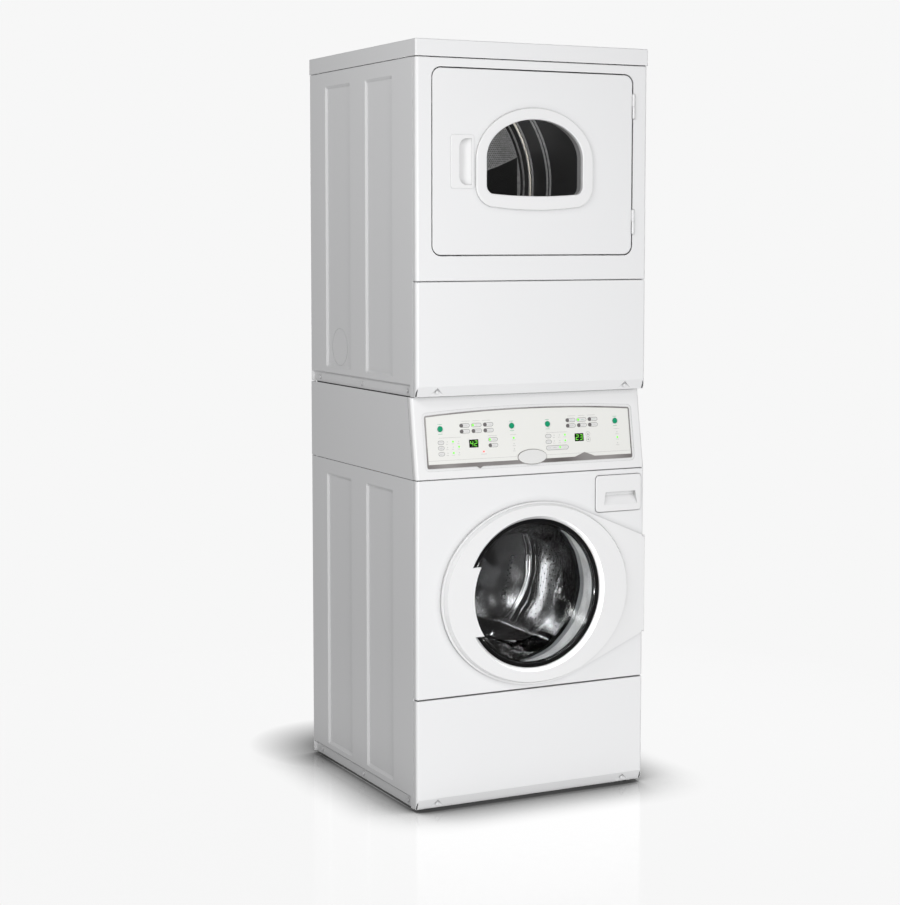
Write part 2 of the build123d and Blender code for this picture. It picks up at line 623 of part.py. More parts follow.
def blower_housing():
    """Scroll with its outlet box: air comes in at the front and leaves through the rear wall."""
    x, z, t = MOTOR_X, MOTOR_Z, 2.0
    y0, y1 = BULKHEAD_Y + SHEET, 150
    outlet = slab(x - 4, 178, z - 100, DUCT_Z + 62, 12)
    scroll = Pos(x, z) * Circle(104) + outlet
    core = Pos(x, z) * Circle(104 - t) + slab(x - 2, 178 - t, z - 100 + t, DUCT_Z + 62 - t, 10)
    shell = prism(scroll, y0, y1) - prism(core, y0 + t, y1 - t)
    shell -= rod(x, z, y0 - 5, y0 + 10, 70)
    shell -= rod(x, z, y1 - 10, y1 + 10, 12)
    return shell - rod(DUCT_X, DUCT_Z, y1 - 10, y1 + 10, DUCT_R - 1.5)


def exhaust_duct():
    """Straight pipe from the blower to a stub behind the rear panel."""
    pipe = tube(DUCT_X, DUCT_Z, 150, DEPTH, DUCT_R - 0.8, DUCT_R - 2)
    pipe += tube(DUCT_X, DUCT_Z, DEPTH, DEPTH + DUCT_STUB, DUCT_R, DUCT_R - 2)
    bead = tube(DUCT_X, DUCT_Z, 150, 153, DUCT_R + 8, DUCT_R - 2)
    return pipe + bead


def heater_box():
    """Box over the hot-air holes, open towards the drum."""
    y, t = REAR_BULKHEAD_Y + SHEET, 2.0
    x0, x1, z0, z1 = HEATER
    box = block(x0, x1, y, y + 44, z0, z1)
    return box - block(x0 + t, x1 - t, y - 1, y + 44 - t, z0 + t, z1 - t)


# ---- dryer door ---------------------------------------------------------------------------
def dryer_door_outer():
    t = SHEET
    outline = slab(DOOR_X0, DOOR_X1, DOOR_Z0, DOOR_Z1, DOOR_R)
    inner = slab(DOOR_X0 + t, DOOR_X1 - t, DOOR_Z0 + t, DOOR_Z1 - t, DOOR_R - t)
    body = prism(outline, 0, DOOR_T)
    front = body.edges().group_by(Axis.Y)[0]
    body = fillet(front, 2.0)
    core = prism(inner, t, DOOR_T + 5)
    core = fillet(core.edges().group_by(Axis.Y)[0], 0.8)
    body -= core
    body -= prism(grown(WINDOW, 8), -5, 10)
    body -= prism(slab(HANDLE[0] + 3, HANDLE[1] - 3, HANDLE[2] + 3, HANDLE[3] - 3, 5), -5, 10)
    for z0, z1 in HINGES:
        body -= block(DRYER_HINGE[0] - 5, DOOR_X1 + 2, -2, DOOR_T + 1, z0 - 1, z1 + 1)
    return body


def dryer_door_handle():
    """Moulded pull: fingers reach in from the right and behind the upright bar on the left."""
    x0, x1, z0, z1 = HANDLE
    plate = prism(slab(x0, x1, z0, z1, 7), -1.6, 0.0)
    plate = fillet(plate.edges().group_by(Axis.Y)[0], 1.2)
    cup = prism(slab(x0 + 4, x1 - 4, z0 + 4, z1 - 4, 6), -0.5, 16.6)
    hollow = Plane.XY * make_face(Polyline(
        (x0 + 24, -5), (x0 + 24, 1.6), (x0 + 8, 3.2), (x0 + 8, 15.5), (x0 + 30, 15.5), (x1 - 7, 0.2),
        (x1 - 7, -5), close=True))
    cavity = Pos(0, 0, z0 + 9) * extrude(hollow, amount=z1 - z0 - 18)
    mouth = slab(x0 + 24, x1 + 40, z0 + 9, z1 - 9, 22)
    behind = block(x0, x1, 3.2, 20, z0, z1)
    return plate + cup - (cavity & prism(mouth, -6, 18)) - (cavity & behind)


def dryer_window_bezel():
    ring = grown(BEZEL, 0) - grown(WINDOW, 0)
    body = prism(ring, -6, 0)
    body = fillet(body.edges().group_by(Axis.Y)[0], 3.0)
    neck = prism(grown(WINDOW, 6) - grown(WINDOW, 0), -0.5, 8)
    return body + neck


def dryer_window_glass():
    return prism(grown(WINDOW, 7), 8.0, 13.0)


def dryer_door_liner():
    """The door's inner pan: closes the back of the door and carries the plug into the drum's mouth."""
    t = SHEET
    plug = grown(THROAT, -8)
    hole = grown(WINDOW, 5)
    plate = prism(slab(DOOR_X0 + t + CLEAR, DOOR_X1 - t - CLEAR, DOOR_Z0 + t + CLEAR, DOOR_Z1 - t - CLEAR,
                       DOOR_R - t - CLEAR), DOOR_T - 2, DOOR_T - 0.6)
    plate += prism(plug, DOOR_T - 2, 34)
    plate -= prism(grown(THROAT, -9.5), DOOR_T - 5, 34 - 1.4)
    plate -= prism(hole, 0, 60)
    plate += prism(grown(WINDOW, 6.4) - hole, 13.0, 34)
    strike = rod(DOOR_X0 + 20, 1679, DOOR_T - 0.7, 44, 4)
    leaves = []
    x, y = DRYER_HINGE
    for z0, z1 in HINGES:
        mid = (z0 + z1) / 2
        barrel = upright(x, y, mid + 0.3, z1, 3.6) + block(x - 4.6, x - 1.8, y, DOOR_T - 2, mid + 0.3, z1)
        leaves.append(barrel - upright(x, y, mid - 5, z1 - 2, 1.85))
    return [plate + strike] + leaves


def dryer_door_seal():
    ring = grown(THROAT, 18) - grown(THROAT, 8)
    return prism(ring, DOOR_T - 0.6, 24 - CLEAR)


def hinge_and_latch_set():
    """Fixed hinge barrels with their pins, both doors' latches and the washer door's hinge post."""
    x, y = DRYER_HINGE
    pieces = []
    for z0, z1 in HINGES:
        mid = (z0 + z1) / 2
        leaf = upright(x, y, z0, mid - 0.3, 3.6) + upright(x, y, z0 + 2, z1 - 4, 1.8)
        leaf += block(x + 1.9, x + 4.2, y, 5.4, z0, mid - 0.3)
        pieces.append(leaf)
    catch = block(DOOR_X0 + 8, DOOR_X0 + 32, 35, 50, 1660, 1698) - rod(DOOR_X0 + 20, 1679, 34, 46.5, 6.5)
    pieces.append(catch)
    lock = block(-243, -216.5, 16, 44, 520, 585) - block(-237, -219, 14, 38, 540, 566)
    pieces.append(lock)
    x, y = WASHER_HINGE
    for side in (-1, 1):
        # a flat tab above and below the washer door's edge, with its pin
        near, far = TUB_Z + side * (WING_HALF + 0.6), TUB_Z + side * (WING_HALF + 3.1)
        low, high = min(near, far), max(near, far)
        tab = block(x - 4, x + 4, y, -0.05, low, high) + upright(x, y, low, high, 4.0)
        inner = TUB_Z + side * (WING_HALF - 14)
        pin = upright(x, y, min(inner, far), max(inner, far), 1.6)
        pieces.append(tab + pin)
    return pieces


# ---- washer -------------------------------------------------------------------------------
def tub_shell():
    """Barrel with its ears and lugs, ribbed back with the bearing hub, and the front ring."""
    barrel = rod(TUB_X, TUB_Z, TUB_Y0, TUB_Y1, TUB_R)
    for s in (-1, 1):
        # ears for the springs and lugs for the dampers and the motor
        barrel += block(s * SPRING_X - 12, s * SPRING_X + 12, SPRING_Y - 9, SPRING_Y + 9, 660, SPRING_Z0 - 3)
        barrel += block(s * DAMPER_X - 12, s * DAMPER_X + 12, DAMPER_Y - 9, DAMPER_Y + 9, 272, 310)
        barrel += block(W_MOTOR_X + s * 30 - 7, W_MOTOR_X + s * 30 + 7, 400, 500, W_MOTOR_Z + 58.4, 300)
    barrel -= rod(TUB_X, TUB_Z, TUB_Y0 - 1, TUB_Y1 + 1, TUB_R - 5)
    back = rod(TUB_X, TUB_Z, TUB_Y1 - 8, TUB_Y1, TUB_R - 5)
    back += cone(TUB_X, TUB_Z, TUB_Y1 - 1, TUB_Y1 + 38, 78, 46)
    for k in range(12):
        rib = block(60, TUB_R - 8, TUB_Y1 - 2, TUB_Y1 + 14, -2.5, 2.5)
        back += Pos(TUB_X, 0, TUB_Z) * Rot(0, 30 * k, 0) * rib
    back -= rod(TUB_X, TUB_Z, TUB_Y1 - 20, TUB_Y1 + 60, 18)
    front = tube(TUB_X, TUB_Z, TUB_Y0 - 10, TUB_Y0, TUB_R + 6, 208)
    front += tube(TUB_X, TUB_Z, TUB_Y0 - 22, TUB_Y0, 212, 205)
    return [barrel, back, front]


def counterweight():
    ring = tube(TUB_X, TUB_Z, 56, TUB_Y0 - 10, 288, 226)
    return fillet(ring.edges().group_by(Axis.Y)[0], 6)


def wash_drum():
    """Stainless basket with three hollow lifters."""
    x, z, r = TUB_X, TUB_Z, BASKET_R
    y0, y1, t = BASKET_Y0, BASKET_Y1, 1.2
    wall = tube(x, z, y0, y1, r, r - t)
    front, back = tube(x, z, y0, y0 + t, r - t, 204), rod(x, z, y1 - t, y1, r - t)
    lifters = [Pos(x, 0, z) * Rot(0, LIFTER_TURN + THIRD * k, 0)
               * ridge(r - t, LIFTER_HALF, LIFTER_TALL, y0 + 14, y1 - 12) for k in range(3)]
    return [wall, front, back] + lifters


def drum_pulley():
    """Spider, shaft and belt pulley fixed to the basket's back."""
    x, z = TUB_X, TUB_Z
    body = rod(x, z, BASKET_Y1, BASKET_Y1 + 12, 46)
    for k in range(3):
        arm = block(20, BASKET_R - 14, BASKET_Y1, BASKET_Y1 + 9, -17, 17)
        body += Pos(x, 0, z) * Rot(0, SPIDER_TURN + THIRD * k, 0) * arm
    body += rod(x, z, BASKET_Y1 + 5, PULLEY_Y + 24, 17.6)
    rim = tube(x, z, PULLEY_Y - 2, PULLEY_Y + 16, PULLEY_R, PULLEY_R - 8)
    for k in range(6):
        spoke = block(16, PULLEY_R - 4, PULLEY_Y + 2, PULLEY_Y + 12, -9, 9)
        rim += Pos(x, 0, z) * Rot(0, 60 * k, 0) * spoke
    return body + rim + rod(x, z, PULLEY_Y - 2, PULLEY_Y + 18, 30)


def washer_motor():
    x, z = W_MOTOR_X, W_MOTOR_Z
    can = rod(x, z, 380, 520, 58) + rod(x, z, 520, 534, 30)
    return can - rod(x, z, 500, 545, 9)


def washer_motor_pulley():
    x, z = W_MOTOR_X, W_MOTOR_Z
    return rod(x, z, 505, PULLEY_Y + 20, 7) + rod(x, z, PULLEY_Y - 2, PULLEY_Y + 16, 16)


def washer_belt():
    circles = [(TUB_X, TUB_Z, PULLEY_R), (W_MOTOR_X, W_MOTOR_Z, 16)]
    return belt_loop(circles, PULLEY_Y, PULLEY_Y + 14, CLEAR, 3)


def tub_springs():
    """Two coil springs that hang the tub."""
    pieces = []
    for s in (-1, 1):
        x, y = s * SPRING_X, SPRING_Y
        path = Helix(pitch=9, height=108, radius=11)
        wire = sweep(Plane(origin=path @ 0, z_dir=path % 0) * Circle(2.2), path=path, is_frenet=True)
        pieces.append(Pos(x, y, SPRING_Z0) * wire)
    return pieces


def damper_cylinders():
    """The two friction dampers' tubes, standing on the base frame."""
    tubes = []
    for s in (-1, 1):
        x = s * DAMPER_X
        body = upright(x, DAMPER_Y, FOOT + 34.5, 190, 16) - upright(x, DAMPER_Y, FOOT + 50, 200, 12)
        tubes.append(body)
    return tubes


def damper_rods():
    """The dampers' rods, pinned to the tub's lugs."""
    return [upright(s * DAMPER_X, DAMPER_Y, 95, 272, 6) + upright(s * DAMPER_X, DAMPER_Y, 95, 125, 11.4)
            for s in (-1, 1)]


def door_gasket():
    """Rubber bellows between the front panel's mouth and the tub's mouth."""
    x, z = TUB_X, TUB_Z
    profile = [(206.4, 15), (210, 15), (210, 30), (202.5, 38), (202.5, 52), (214, 60), (214, 70),
               (204.6, 78), (204.6, 104), (201, 104), (201, 76), (210, 68), (210, 62), (198.5, 54),
               (198.5, 36), (206.4, 28)]
    section = make_face(Polyline(*[(r, y) for r, y in profile], close=True))
    ring = revolve(section, Axis.Y)
    return Pos(x, 0, z) * ring


def dispenser_housing():
    t = 2.0
    x0, x1, z0, z1 = CUPS_X0 - 4, CUPS_X1 + 4, TRAY_Z0 + 5, TRAY_Z1 - 3
    box = block(x0, x1, 18.5, TRAY_DEPTH + 30, z0, z1)
    box -= block(x0 + t, x1 - t, 10, TRAY_DEPTH + 20, z0 + t, z1 - t)
    return box - upright((x0 + x1) / 2, TRAY_DEPTH - 10, z0 - 5, z0 + 10, 14)


def dispenser_drawer():
    """Detergent drawer: its front has a scooped pull, and two cups stand behind it."""
    x0, x1, z0, z1 = TRAY_X0, TRAY_X1, TRAY_Z0, TRAY_Z1
    front = prism(slab(x0, x1, z0, z1, 10), -3.0, 12)
    front = fillet(front.edges().group_by(Axis.Y)[0], 2.0)
    pull = make_face(Polyline((214, 767), (319, 767), (312, 808), (219, 808), close=True))
    pull = fillet(pull.vertices(), 5)
    scoop = make_face(Polyline((-4, 768), (-3, 772), (9.5, 797), (9.5, 807), (-4, 807), close=True))
    front -= across(scoop, x0, x1) & prism(pull, -6, 11)
    cups = block(CUPS_X0, CUPS_X1, 11, TRAY_DEPTH, z0 + 10, z1 - 22)
    middle = (CUPS_X0 + CUPS_X1) / 2
    for left, right in ((CUPS_X0 + 3, middle - 1.5), (middle + 1.5, CUPS_X1 - 3)):
        cups -= block(left, right, 15, TRAY_DEPTH - 4, z0 + 13, z1)
    return front + cups


def inlet_valves():
    """Hot and cold water connections at the back."""
    z, thread_r, thread = VALVE_Z, 13.3, 18
    pieces = []
    for x in VALVE_XS:
        body = rod(x, z, DEPTH - 60, DEPTH - 5, 20) + rod(x, z, DEPTH - 6, DEPTH + 2, 17)
        body += rod(x, z, DEPTH + 1, DEPTH + thread, thread_r)
        pieces.append(body - rod(x, z, DEPTH - 20, DEPTH + 20, 9.5))
    return pieces


def drain_pump():
    """Pump on the base, with the drain hose's spigot through the rear panel."""
    x, z, spigot_r, spigot = PUMP_X, PUMP_Z, 14.0, 20
    pump = rod(x, z, 560, 640, 42) + rod(x, z, 640, DEPTH, 16.5)
    pump += rod(x, z, DEPTH, DEPTH + spigot, spigot_r)
    pump += block(x - 35, x + 35, 570, 630, FOOT + 37, z - 20)
    return pump - rod(x, z, 645, DEPTH + 25, spigot_r - 3)


# ---- washer door --------------------------------------------------------------------------
def wing_outline():
    """The oval door with straight flanks running out to a tall edge on the hinge side."""
    a, b, dx, dz = FRAME_A, FRAME_B, HALF - FRAME_X, WING_HALF
    reach = math.hypot(dx / a, dz / b)
    touch = math.degrees(math.atan2(dz / b, dx / a) + math.acos(1 / reach))
    tx, tz = a * math.cos(math.radians(touch)), b * math.sin(math.radians(touch))
    edges = [
        EllipticalCenterArc((0, 0), a, b, touch, arc_size=360 - 2 * touch),
        Line((tx, -tz), (dx, -dz)),
        Line((dx, -dz), (dx, dz)),
        Line((dx, dz), (tx, tz)),
    ]
    return Pos(FRAME_X, TUB_Z) * make_face(edges)


def washer_door_frame():
    """The moulded door: a raised oval ring, its wing to the hinge and a grip over the glass."""
    back = -CLEAR
    wing = prism(wing_outline(), -WING_H, back)
    foot = Plane.XZ * Pos(FRAME_X, TUB_Z) * Ellipse(FRAME_A, FRAME_B)
    crown = Plane.XZ * Pos(FRAME_X - 0.5, TUB_Z) * Ellipse(FRAME_A - 13, FRAME_B - 9)
    ring = loft([Pos(0, back, 0) * foot, Pos(0, -FRAME_H, 0) * crown])
    body = wing + (ring & prism(wing_outline(), -FRAME_H - 1, back + 1))
    body -= cone(TUB_X, TUB_Z, -FRAME_H - 0.01, -6, 206.5, GLASS_R)
    body -= rod(TUB_X, TUB_Z, -6.5, 5, GLASS_R)
    grip = tube(TUB_X, TUB_Z, -FRAME_H, -FRAME_H + GRIP_T, 215, GRIP_R)
    grip &= block(-240, -100, -30, 5, GRIP_Z0, GRIP_Z1)
    # finger well behind the grip
    well = tube(TUB_X, TUB_Z, -FRAME_H + GRIP_T, -4, 232, 190)
    well &= block(-225, -100, -30, 5, GRIP_Z0 + 6, GRIP_Z1 - 6)
    body = body - well - grip
    # the edge is rolled round the hinge line
    x, y = WASHER_HINGE
    roll = -CLEAR - y
    body -= block(x, HALF + 5, -30, 5, 300, 800)
    edge_roll = upright(x, y, TUB_Z - WING_HALF, TUB_Z + WING_HALF, roll)
    body += edge_roll & block(x - 1, HALF + 5, -30, 5, 300, 800)
    for side in (-1, 1):
        # level corners that leave room for the hinge tabs
        edge = sorted((TUB_Z + side * WING_HALF, TUB_Z + side * (WING_HALF + 40)))
        body -= block(x - 5, HALF + 5, -30, 5, *edge)
    body -= upright(x, y, 300, 800, 1.9)
    return [max(body.solids(), key=lambda solid: solid.volume), grip]


def washer_door_inner():
    """Inner ring that clamps the glass, with the hook for the lock."""
    ring = tube(TUB_X, TUB_Z, -CLEAR, 12, 205, 188)
    ring += tube(TUB_X, TUB_Z, -3.0, -CLEAR + 0.1, GLASS_R - 0.2, 188)
    z0, z1 = HOOK_Z0, HOOK_Z1
    hook = block(-231, -196, -CLEAR, 4, z0, z1)
    hook += block(-231, -226, 3, 30, z0, z1) + block(-231, -222, 26, 30, z0, z1)
    return ring + hook


def washer_door_glass():
    """Bowl-shaped glass that reaches into the tub's mouth."""
    t = 5.0
    rim = tube(TUB_X, TUB_Z, -7.0, -3.0, GLASS_R - 0.3, 180)
    outer = cone(TUB_X, TUB_Z, -7.0, 100, 187.4, 150)
    inner = cone(TUB_X, TUB_Z, -7.01, 100 - t, 187.4 - t, 150 - t)
    return rim + outer - inner


def main():
    write("base_frame", base_frame())
    write("levelling_feet", *levelling_feet())
    sides = []
    for low, high, knock in ((FOOT, CONSOLE_LOW - SEAM, False), (DECK, LID_LOW - SEAM, True)):
        sides += [side_panel(low, high, knock), mirror_x(side_panel(low, high, False))]
    write("side_panels", *sides)
    cover = console_side_cover()
    write("console_side_covers", cover, mirror_x(cover))
    write("top_panel", top_panel())
    water = [(x, VALVE_Z, PUMP_HOLE_R) for x in VALVE_XS] + [(PUMP_X, PUMP_Z, PUMP_HOLE_R)]
    washer_rear = rear_panel(FOOT + 4, CONSOLE_LOW - SEAM, water)
    dryer_rear = rear_panel(CONSOLE_LOW, LID_LOW - SEAM,
                            [(DUCT_X, DUCT_Z, DUCT_R + 1), CABLE_HOLE])
    dryer_rear = louvres(louvres(dryer_rear, -110, 1660, 8), 150, 1400, 6)
    write("rear_panels", louvres(washer_rear, 120, 620, 8), dryer_rear)
    write("washer_front_panel", washer_front_panel())
    write("washer_toe_panel", plain_front(FOOT, TOE_TOP))
    write("dryer_front_panel", dryer_front_panel())
    write("dryer_access_panel", plain_front(DECK, ACCESS_TOP))
    write("console_fascia", console_fascia())
    write("console_trim", *console_trim())
    write("keypad_overlay", keypad_overlay())
    write("control_board", control_board())
    write("panel_screws", *panel_screws())
    for name in BUTTONS:
        write(name, button(name))
    write("dryer_front_bulkhead", *dryer_front_bulkhead())
    write("dryer_rear_bulkhead", dryer_rear_bulkhead())
    write("dryer_base_deck", dryer_base_deck())
    write("dryer_drum", *dryer_drum())
    write("drum_felt_seals", *drum_felt_seals())
    write("support_roller_left", support_roller(0))
    write("support_roller_right", support_roller(1))
    write("dryer_motor", dryer_motor())
    write("motor_shaft", motor_shaft())
    write("idler_arm", idler_arm())
    write("idler_pulley", idler_pulley())
    write("drum_belt", drum_belt())
    write("blower_housing", blower_housing())
    write("exhaust_duct", exhaust_duct())
    write("heater_box", heater_box())
    write("lint_filter", lint_filter())
    write("dryer_door_outer", dryer_door_outer())
    write("dryer_door_handle", dryer_door_handle())
    write("dryer_window_bezel", dryer_window_bezel())
    write("dryer_window_glass", dryer_window_glass())
    write("dryer_door_liner", *dryer_door_liner())
    write("dryer_door_seal", dryer_door_seal())
    write("hinge_and_latch_set", *hinge_and_latch_set())
    write("tub_shell", *tub_shell())
    write("counterweight", counterweight())
    write("wash_drum", *wash_drum())
    write("drum_pulley", drum_pulley())
    write("washer_motor", washer_motor())
    write("washer_motor_pulley", washer_motor_pulley())
    write("washer_belt", washer_belt())
    write("tub_springs", *tub_springs())
    write("damper_cylinders", *damper_cylinders())
    write("damper_rods", *damper_rods())
    write("door_gasket", door_gasket())
    write("dispenser_housing", dispenser_housing())
    write("dispenser_drawer", dispenser_drawer())
    write("inlet_valves", *inlet_valves())
    write("drain_pump", drain_pump())
    write("washer_door_frame", *washer_door_frame())
    write("washer_door_inner", washer_door_inner())
    write("washer_door_glass", washer_door_glass())


main()
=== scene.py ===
"""Looks for the stacked washer and tumble dryer: finishes for every CAD node, the printed console,
lit displays, drum details behind the glass, the rubber bellows, and a pale studio."""
import json
import math

import bmesh
import bpy
from mathutils import Euler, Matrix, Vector


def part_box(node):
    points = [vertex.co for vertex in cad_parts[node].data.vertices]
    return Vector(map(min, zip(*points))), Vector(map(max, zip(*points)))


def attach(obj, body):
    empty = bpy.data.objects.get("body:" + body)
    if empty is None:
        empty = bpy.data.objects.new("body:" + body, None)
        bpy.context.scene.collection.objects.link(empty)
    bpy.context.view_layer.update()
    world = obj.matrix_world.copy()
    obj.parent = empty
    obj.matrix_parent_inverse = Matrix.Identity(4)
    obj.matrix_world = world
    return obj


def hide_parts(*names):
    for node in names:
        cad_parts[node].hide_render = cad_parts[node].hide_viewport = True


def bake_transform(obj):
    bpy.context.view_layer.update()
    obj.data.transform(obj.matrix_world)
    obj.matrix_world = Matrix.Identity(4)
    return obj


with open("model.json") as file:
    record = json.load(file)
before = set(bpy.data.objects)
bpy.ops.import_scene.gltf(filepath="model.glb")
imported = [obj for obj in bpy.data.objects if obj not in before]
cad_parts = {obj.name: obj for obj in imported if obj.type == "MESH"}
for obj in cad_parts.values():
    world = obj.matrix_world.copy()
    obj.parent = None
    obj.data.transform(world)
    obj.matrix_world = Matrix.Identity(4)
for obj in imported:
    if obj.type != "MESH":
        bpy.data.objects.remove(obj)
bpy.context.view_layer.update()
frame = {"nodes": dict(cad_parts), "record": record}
NODES = frame["nodes"]
MM = 0.001

# ---- places, from the frame -----------------------------------------------------------------
FRONT_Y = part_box("washer_toe_panel")[0].y            # the cabinet's front plane
CONSOLE_LOW, CONSOLE_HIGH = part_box("console_fascia")[0].z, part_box("console_fascia")[1].z
TUB_LOW, TUB_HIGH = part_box("counterweight")
TUB_X, TUB_Z = (TUB_LOW.x + TUB_HIGH.x) / 2, (TUB_LOW.z + TUB_HIGH.z) / 2
BASKET_LOW, BASKET_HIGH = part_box("wash_drum")
BASKET_R = (BASKET_HIGH.x - BASKET_LOW.x) / 2
DRUM_LOW, DRUM_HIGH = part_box("dryer_drum")
DRUM_Z, DRUM_R = (DRUM_LOW.z + DRUM_HIGH.z) / 2, (DRUM_HIGH.x - DRUM_LOW.x) / 2 - 1.2 * MM
REAR_WALL_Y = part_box("dryer_rear_bulkhead")[1].y
CONSOLE_RAKE = 34.0 * MM
LEAN = math.atan2(CONSOLE_RAKE, CONSOLE_HIGH + 1 * MM - CONSOLE_LOW)
CONSOLE_MID = (CONSOLE_LOW + CONSOLE_HIGH + 1 * MM) / 2
CONSOLE_MID_Y = FRONT_Y + CONSOLE_RAKE / 2

# ---- the camera, fitted to the photograph ----------------------------------------------------
CAMERA_AT = (-2.4929, -4.4892 + FRONT_Y, 1.4898)
CAMERA_YAW, CAMERA_PITCH = 26.595, 4.97              # degrees to the right, and down
CAMERA_LENS, CAMERA_SHIFT = 78.24, -0.05


# ---- node helpers ---------------------------------------------------------------------------
PAINTED_SHADE_REACH = 16 * MM      # how near a surface is to another where painted shade darkens the finish
PAINTED_SHADE_TONE = 0.5           # the painted shade's tone in the tightest seams


class Nodes:
    """Builds one material's node tree with short calls."""

    def __init__(self, name):
        self.material = bpy.data.materials.new(name)
        self.material.use_nodes = True
        self.tree = self.material.node_tree
        self.shader = self.tree.nodes["Principled BSDF"]
        self.place = self.add("ShaderNodeTexCoord").outputs["Object"]

    def add(self, kind, **values):
        node = self.tree.nodes.new(kind)
        for key, value in values.items():
            setattr(node, key, value)
        return node

    def link(self, a, b):
        self.tree.links.new(a, b)

    def set(self, **values):
        for key, value in values.items():
            self.shader.inputs[key.replace("_", " ")].default_value = value

    def noise(self, scale, detail=3.0, stretch=None):
        node = self.add("ShaderNodeTexNoise")
        node.inputs["Scale"].default_value = scale
        node.inputs["Detail"].default_value = detail
        source = self.place
        if stretch:
            mapping = self.add("ShaderNodeMapping")
            mapping.inputs["Scale"].default_value = stretch
            self.link(self.place, mapping.inputs["Vector"])
            source = mapping.outputs["Vector"]
        self.link(source, node.inputs["Vector"])
        return node.outputs["Fac"]

    def ramp(self, value, low, high, a, b):
        """Maps value in low..high to colours a..b."""
        node = self.add("ShaderNodeValToRGB")
        node.color_ramp.elements[0].position = low
        node.color_ramp.elements[1].position = high
        node.color_ramp.elements[0].color = a if len(a) == 4 else (*a, 1)
        node.color_ramp.elements[1].color = b if len(b) == 4 else (*b, 1)
        self.link(value, node.inputs["Fac"])
        return node.outputs["Color"]

    def span(self, value, a, b, low=0.0, high=1.0):
        node = self.add("ShaderNodeMapRange")
        node.inputs["From Min"].default_value = low
        node.inputs["From Max"].default_value = high
        node.inputs["To Min"].default_value = a
        node.inputs["To Max"].default_value = b
        self.link(value, node.inputs["Value"])
        return node.outputs["Result"]

    def with_painted_gap_shade(self, color):
        """The colour, darker in seams and inner corners: painted shade where surfaces come close."""
        near = self.add("ShaderNodeAmbientOcclusion", samples=4)
        near.inputs["Distance"].default_value = PAINTED_SHADE_REACH
        darker = self.add("ShaderNodeVectorMath", operation="SCALE")
        self.link(color, darker.inputs[0])
        self.link(self.span(near.outputs["AO"], PAINTED_SHADE_TONE, 1.0, 0.4, 0.85), darker.inputs["Scale"])
        return darker.outputs["Vector"]

    def bump(self, height, strength, distance):
        node = self.add("ShaderNodeBump")
        node.inputs["Strength"].default_value = strength
        node.inputs["Distance"].default_value = distance
        self.link(height, node.inputs["Height"])
        self.link(node.outputs["Normal"], self.shader.inputs["Normal"])
        return node


def shade(color, by):
    return tuple(min(1.0, c * by) for c in color)


def enamel(name, color, rough=0.3, peel=0.06):
    """Baked paint: faint orange peel, faint tone drift, slightly uneven gloss, and painted shade in seams
    and inner corners.
    """
    n = Nodes(name)
    drift = n.ramp(n.noise(2.0, 1.0), 0.0, 1.0, shade(color, 0.992), shade(color, 1.005))
    n.link(n.with_painted_gap_shade(drift), n.shader.inputs["Base Color"])
    n.link(n.span(n.noise(4.0, 1.0), rough * 0.95, rough * 1.05, 0.0, 1.0), n.shader.inputs["Roughness"])
    n.bump(n.noise(420.0, 2.0), peel, 0.0004)
    n.set(Specular_IOR_Level=0.42)
    return n.material


def moulded(name, color, rough=0.38, grain=0.08, scale=900.0):
    """Moulded plastic: fine spark-eroded grain, a soft uneven sheen, and painted shade in seams and inner
    corners.
    """
    n = Nodes(name)
    drift = n.ramp(n.noise(3.0, 1.0), 0.0, 1.0, shade(color, 0.994), shade(color, 1.004))
    n.link(n.with_painted_gap_shade(drift), n.shader.inputs["Base Color"])
    n.link(n.span(n.noise(4.0, 1.0), rough * 0.94, rough * 1.06, 0.0, 1.0), n.shader.inputs["Roughness"])
    n.bump(n.noise(scale, 2.0), grain, 0.0003)
    return n.material


def brushed(name, color, rough=0.26, stretch=(1.0, 40.0, 1.0)):
    """Rolled or brushed metal with fine lines along one way and soft stains."""
    n = Nodes(name)
    lines = n.noise(60.0, 5.0, stretch)
    n.link(n.ramp(n.noise(6.0, 4.0), 0.25, 0.75, shade(color, 0.86), color), n.shader.inputs["Base Color"])
    n.link(n.span(lines, rough * 0.8, rough * 1.35, 0.3, 0.7), n.shader.inputs["Roughness"])
    n.bump(lines, 0.12, 0.0002)
    n.set(Metallic=1.0)
    return n.material


def polished(name, color, rough=0.13):
    """Polished steel sheet, whose slow waves pull reflections into long curls."""
    n = Nodes(name)
    n.link(n.ramp(n.noise(5.0, 1.0), 0.25, 0.75, shade(color, 0.8), color), n.shader.inputs["Base Color"])
    n.link(n.span(n.noise(30.0, 3.0), rough * 0.8, rough * 1.3, 0.3, 0.7), n.shader.inputs["Roughness"])
    n.bump(n.noise(5.5, 0.0), 0.8, 0.03)
    n.set(Metallic=1.0)
    return n.material


def galvanised(name, color):
    """Zinc-coated sheet with crystal spangle."""
    n = Nodes(name)
    spangle = n.add("ShaderNodeTexVoronoi")
    spangle.inputs["Scale"].default_value = 90.0
    n.link(n.place, spangle.inputs["Vector"])
    n.link(n.ramp(spangle.outputs["Distance"], 0.1, 0.8, color, shade(color, 0.72)),
           n.shader.inputs["Base Color"])
    n.link(n.span(n.noise(40.0, 3.0), 0.32, 0.5, 0.3, 0.7), n.shader.inputs["Roughness"])
    n.bump(n.noise(300.0, 2.0), 0.06, 0.0003)
    n.set(Metallic=0.85)
    return n.material


def rubber(name, color, rough=0.62):
    n = Nodes(name)
    n.link(n.ramp(n.noise(18.0, 4.0), 0.3, 0.7, shade(color, 0.8), shade(color, 1.25)),
           n.shader.inputs["Base Color"])
    n.link(n.span(n.noise(60.0, 3.0), rough * 0.85, rough * 1.15, 0.3, 0.7), n.shader.inputs["Roughness"])
    n.bump(n.noise(700.0, 3.0), 0.18, 0.0003)
    return n.material


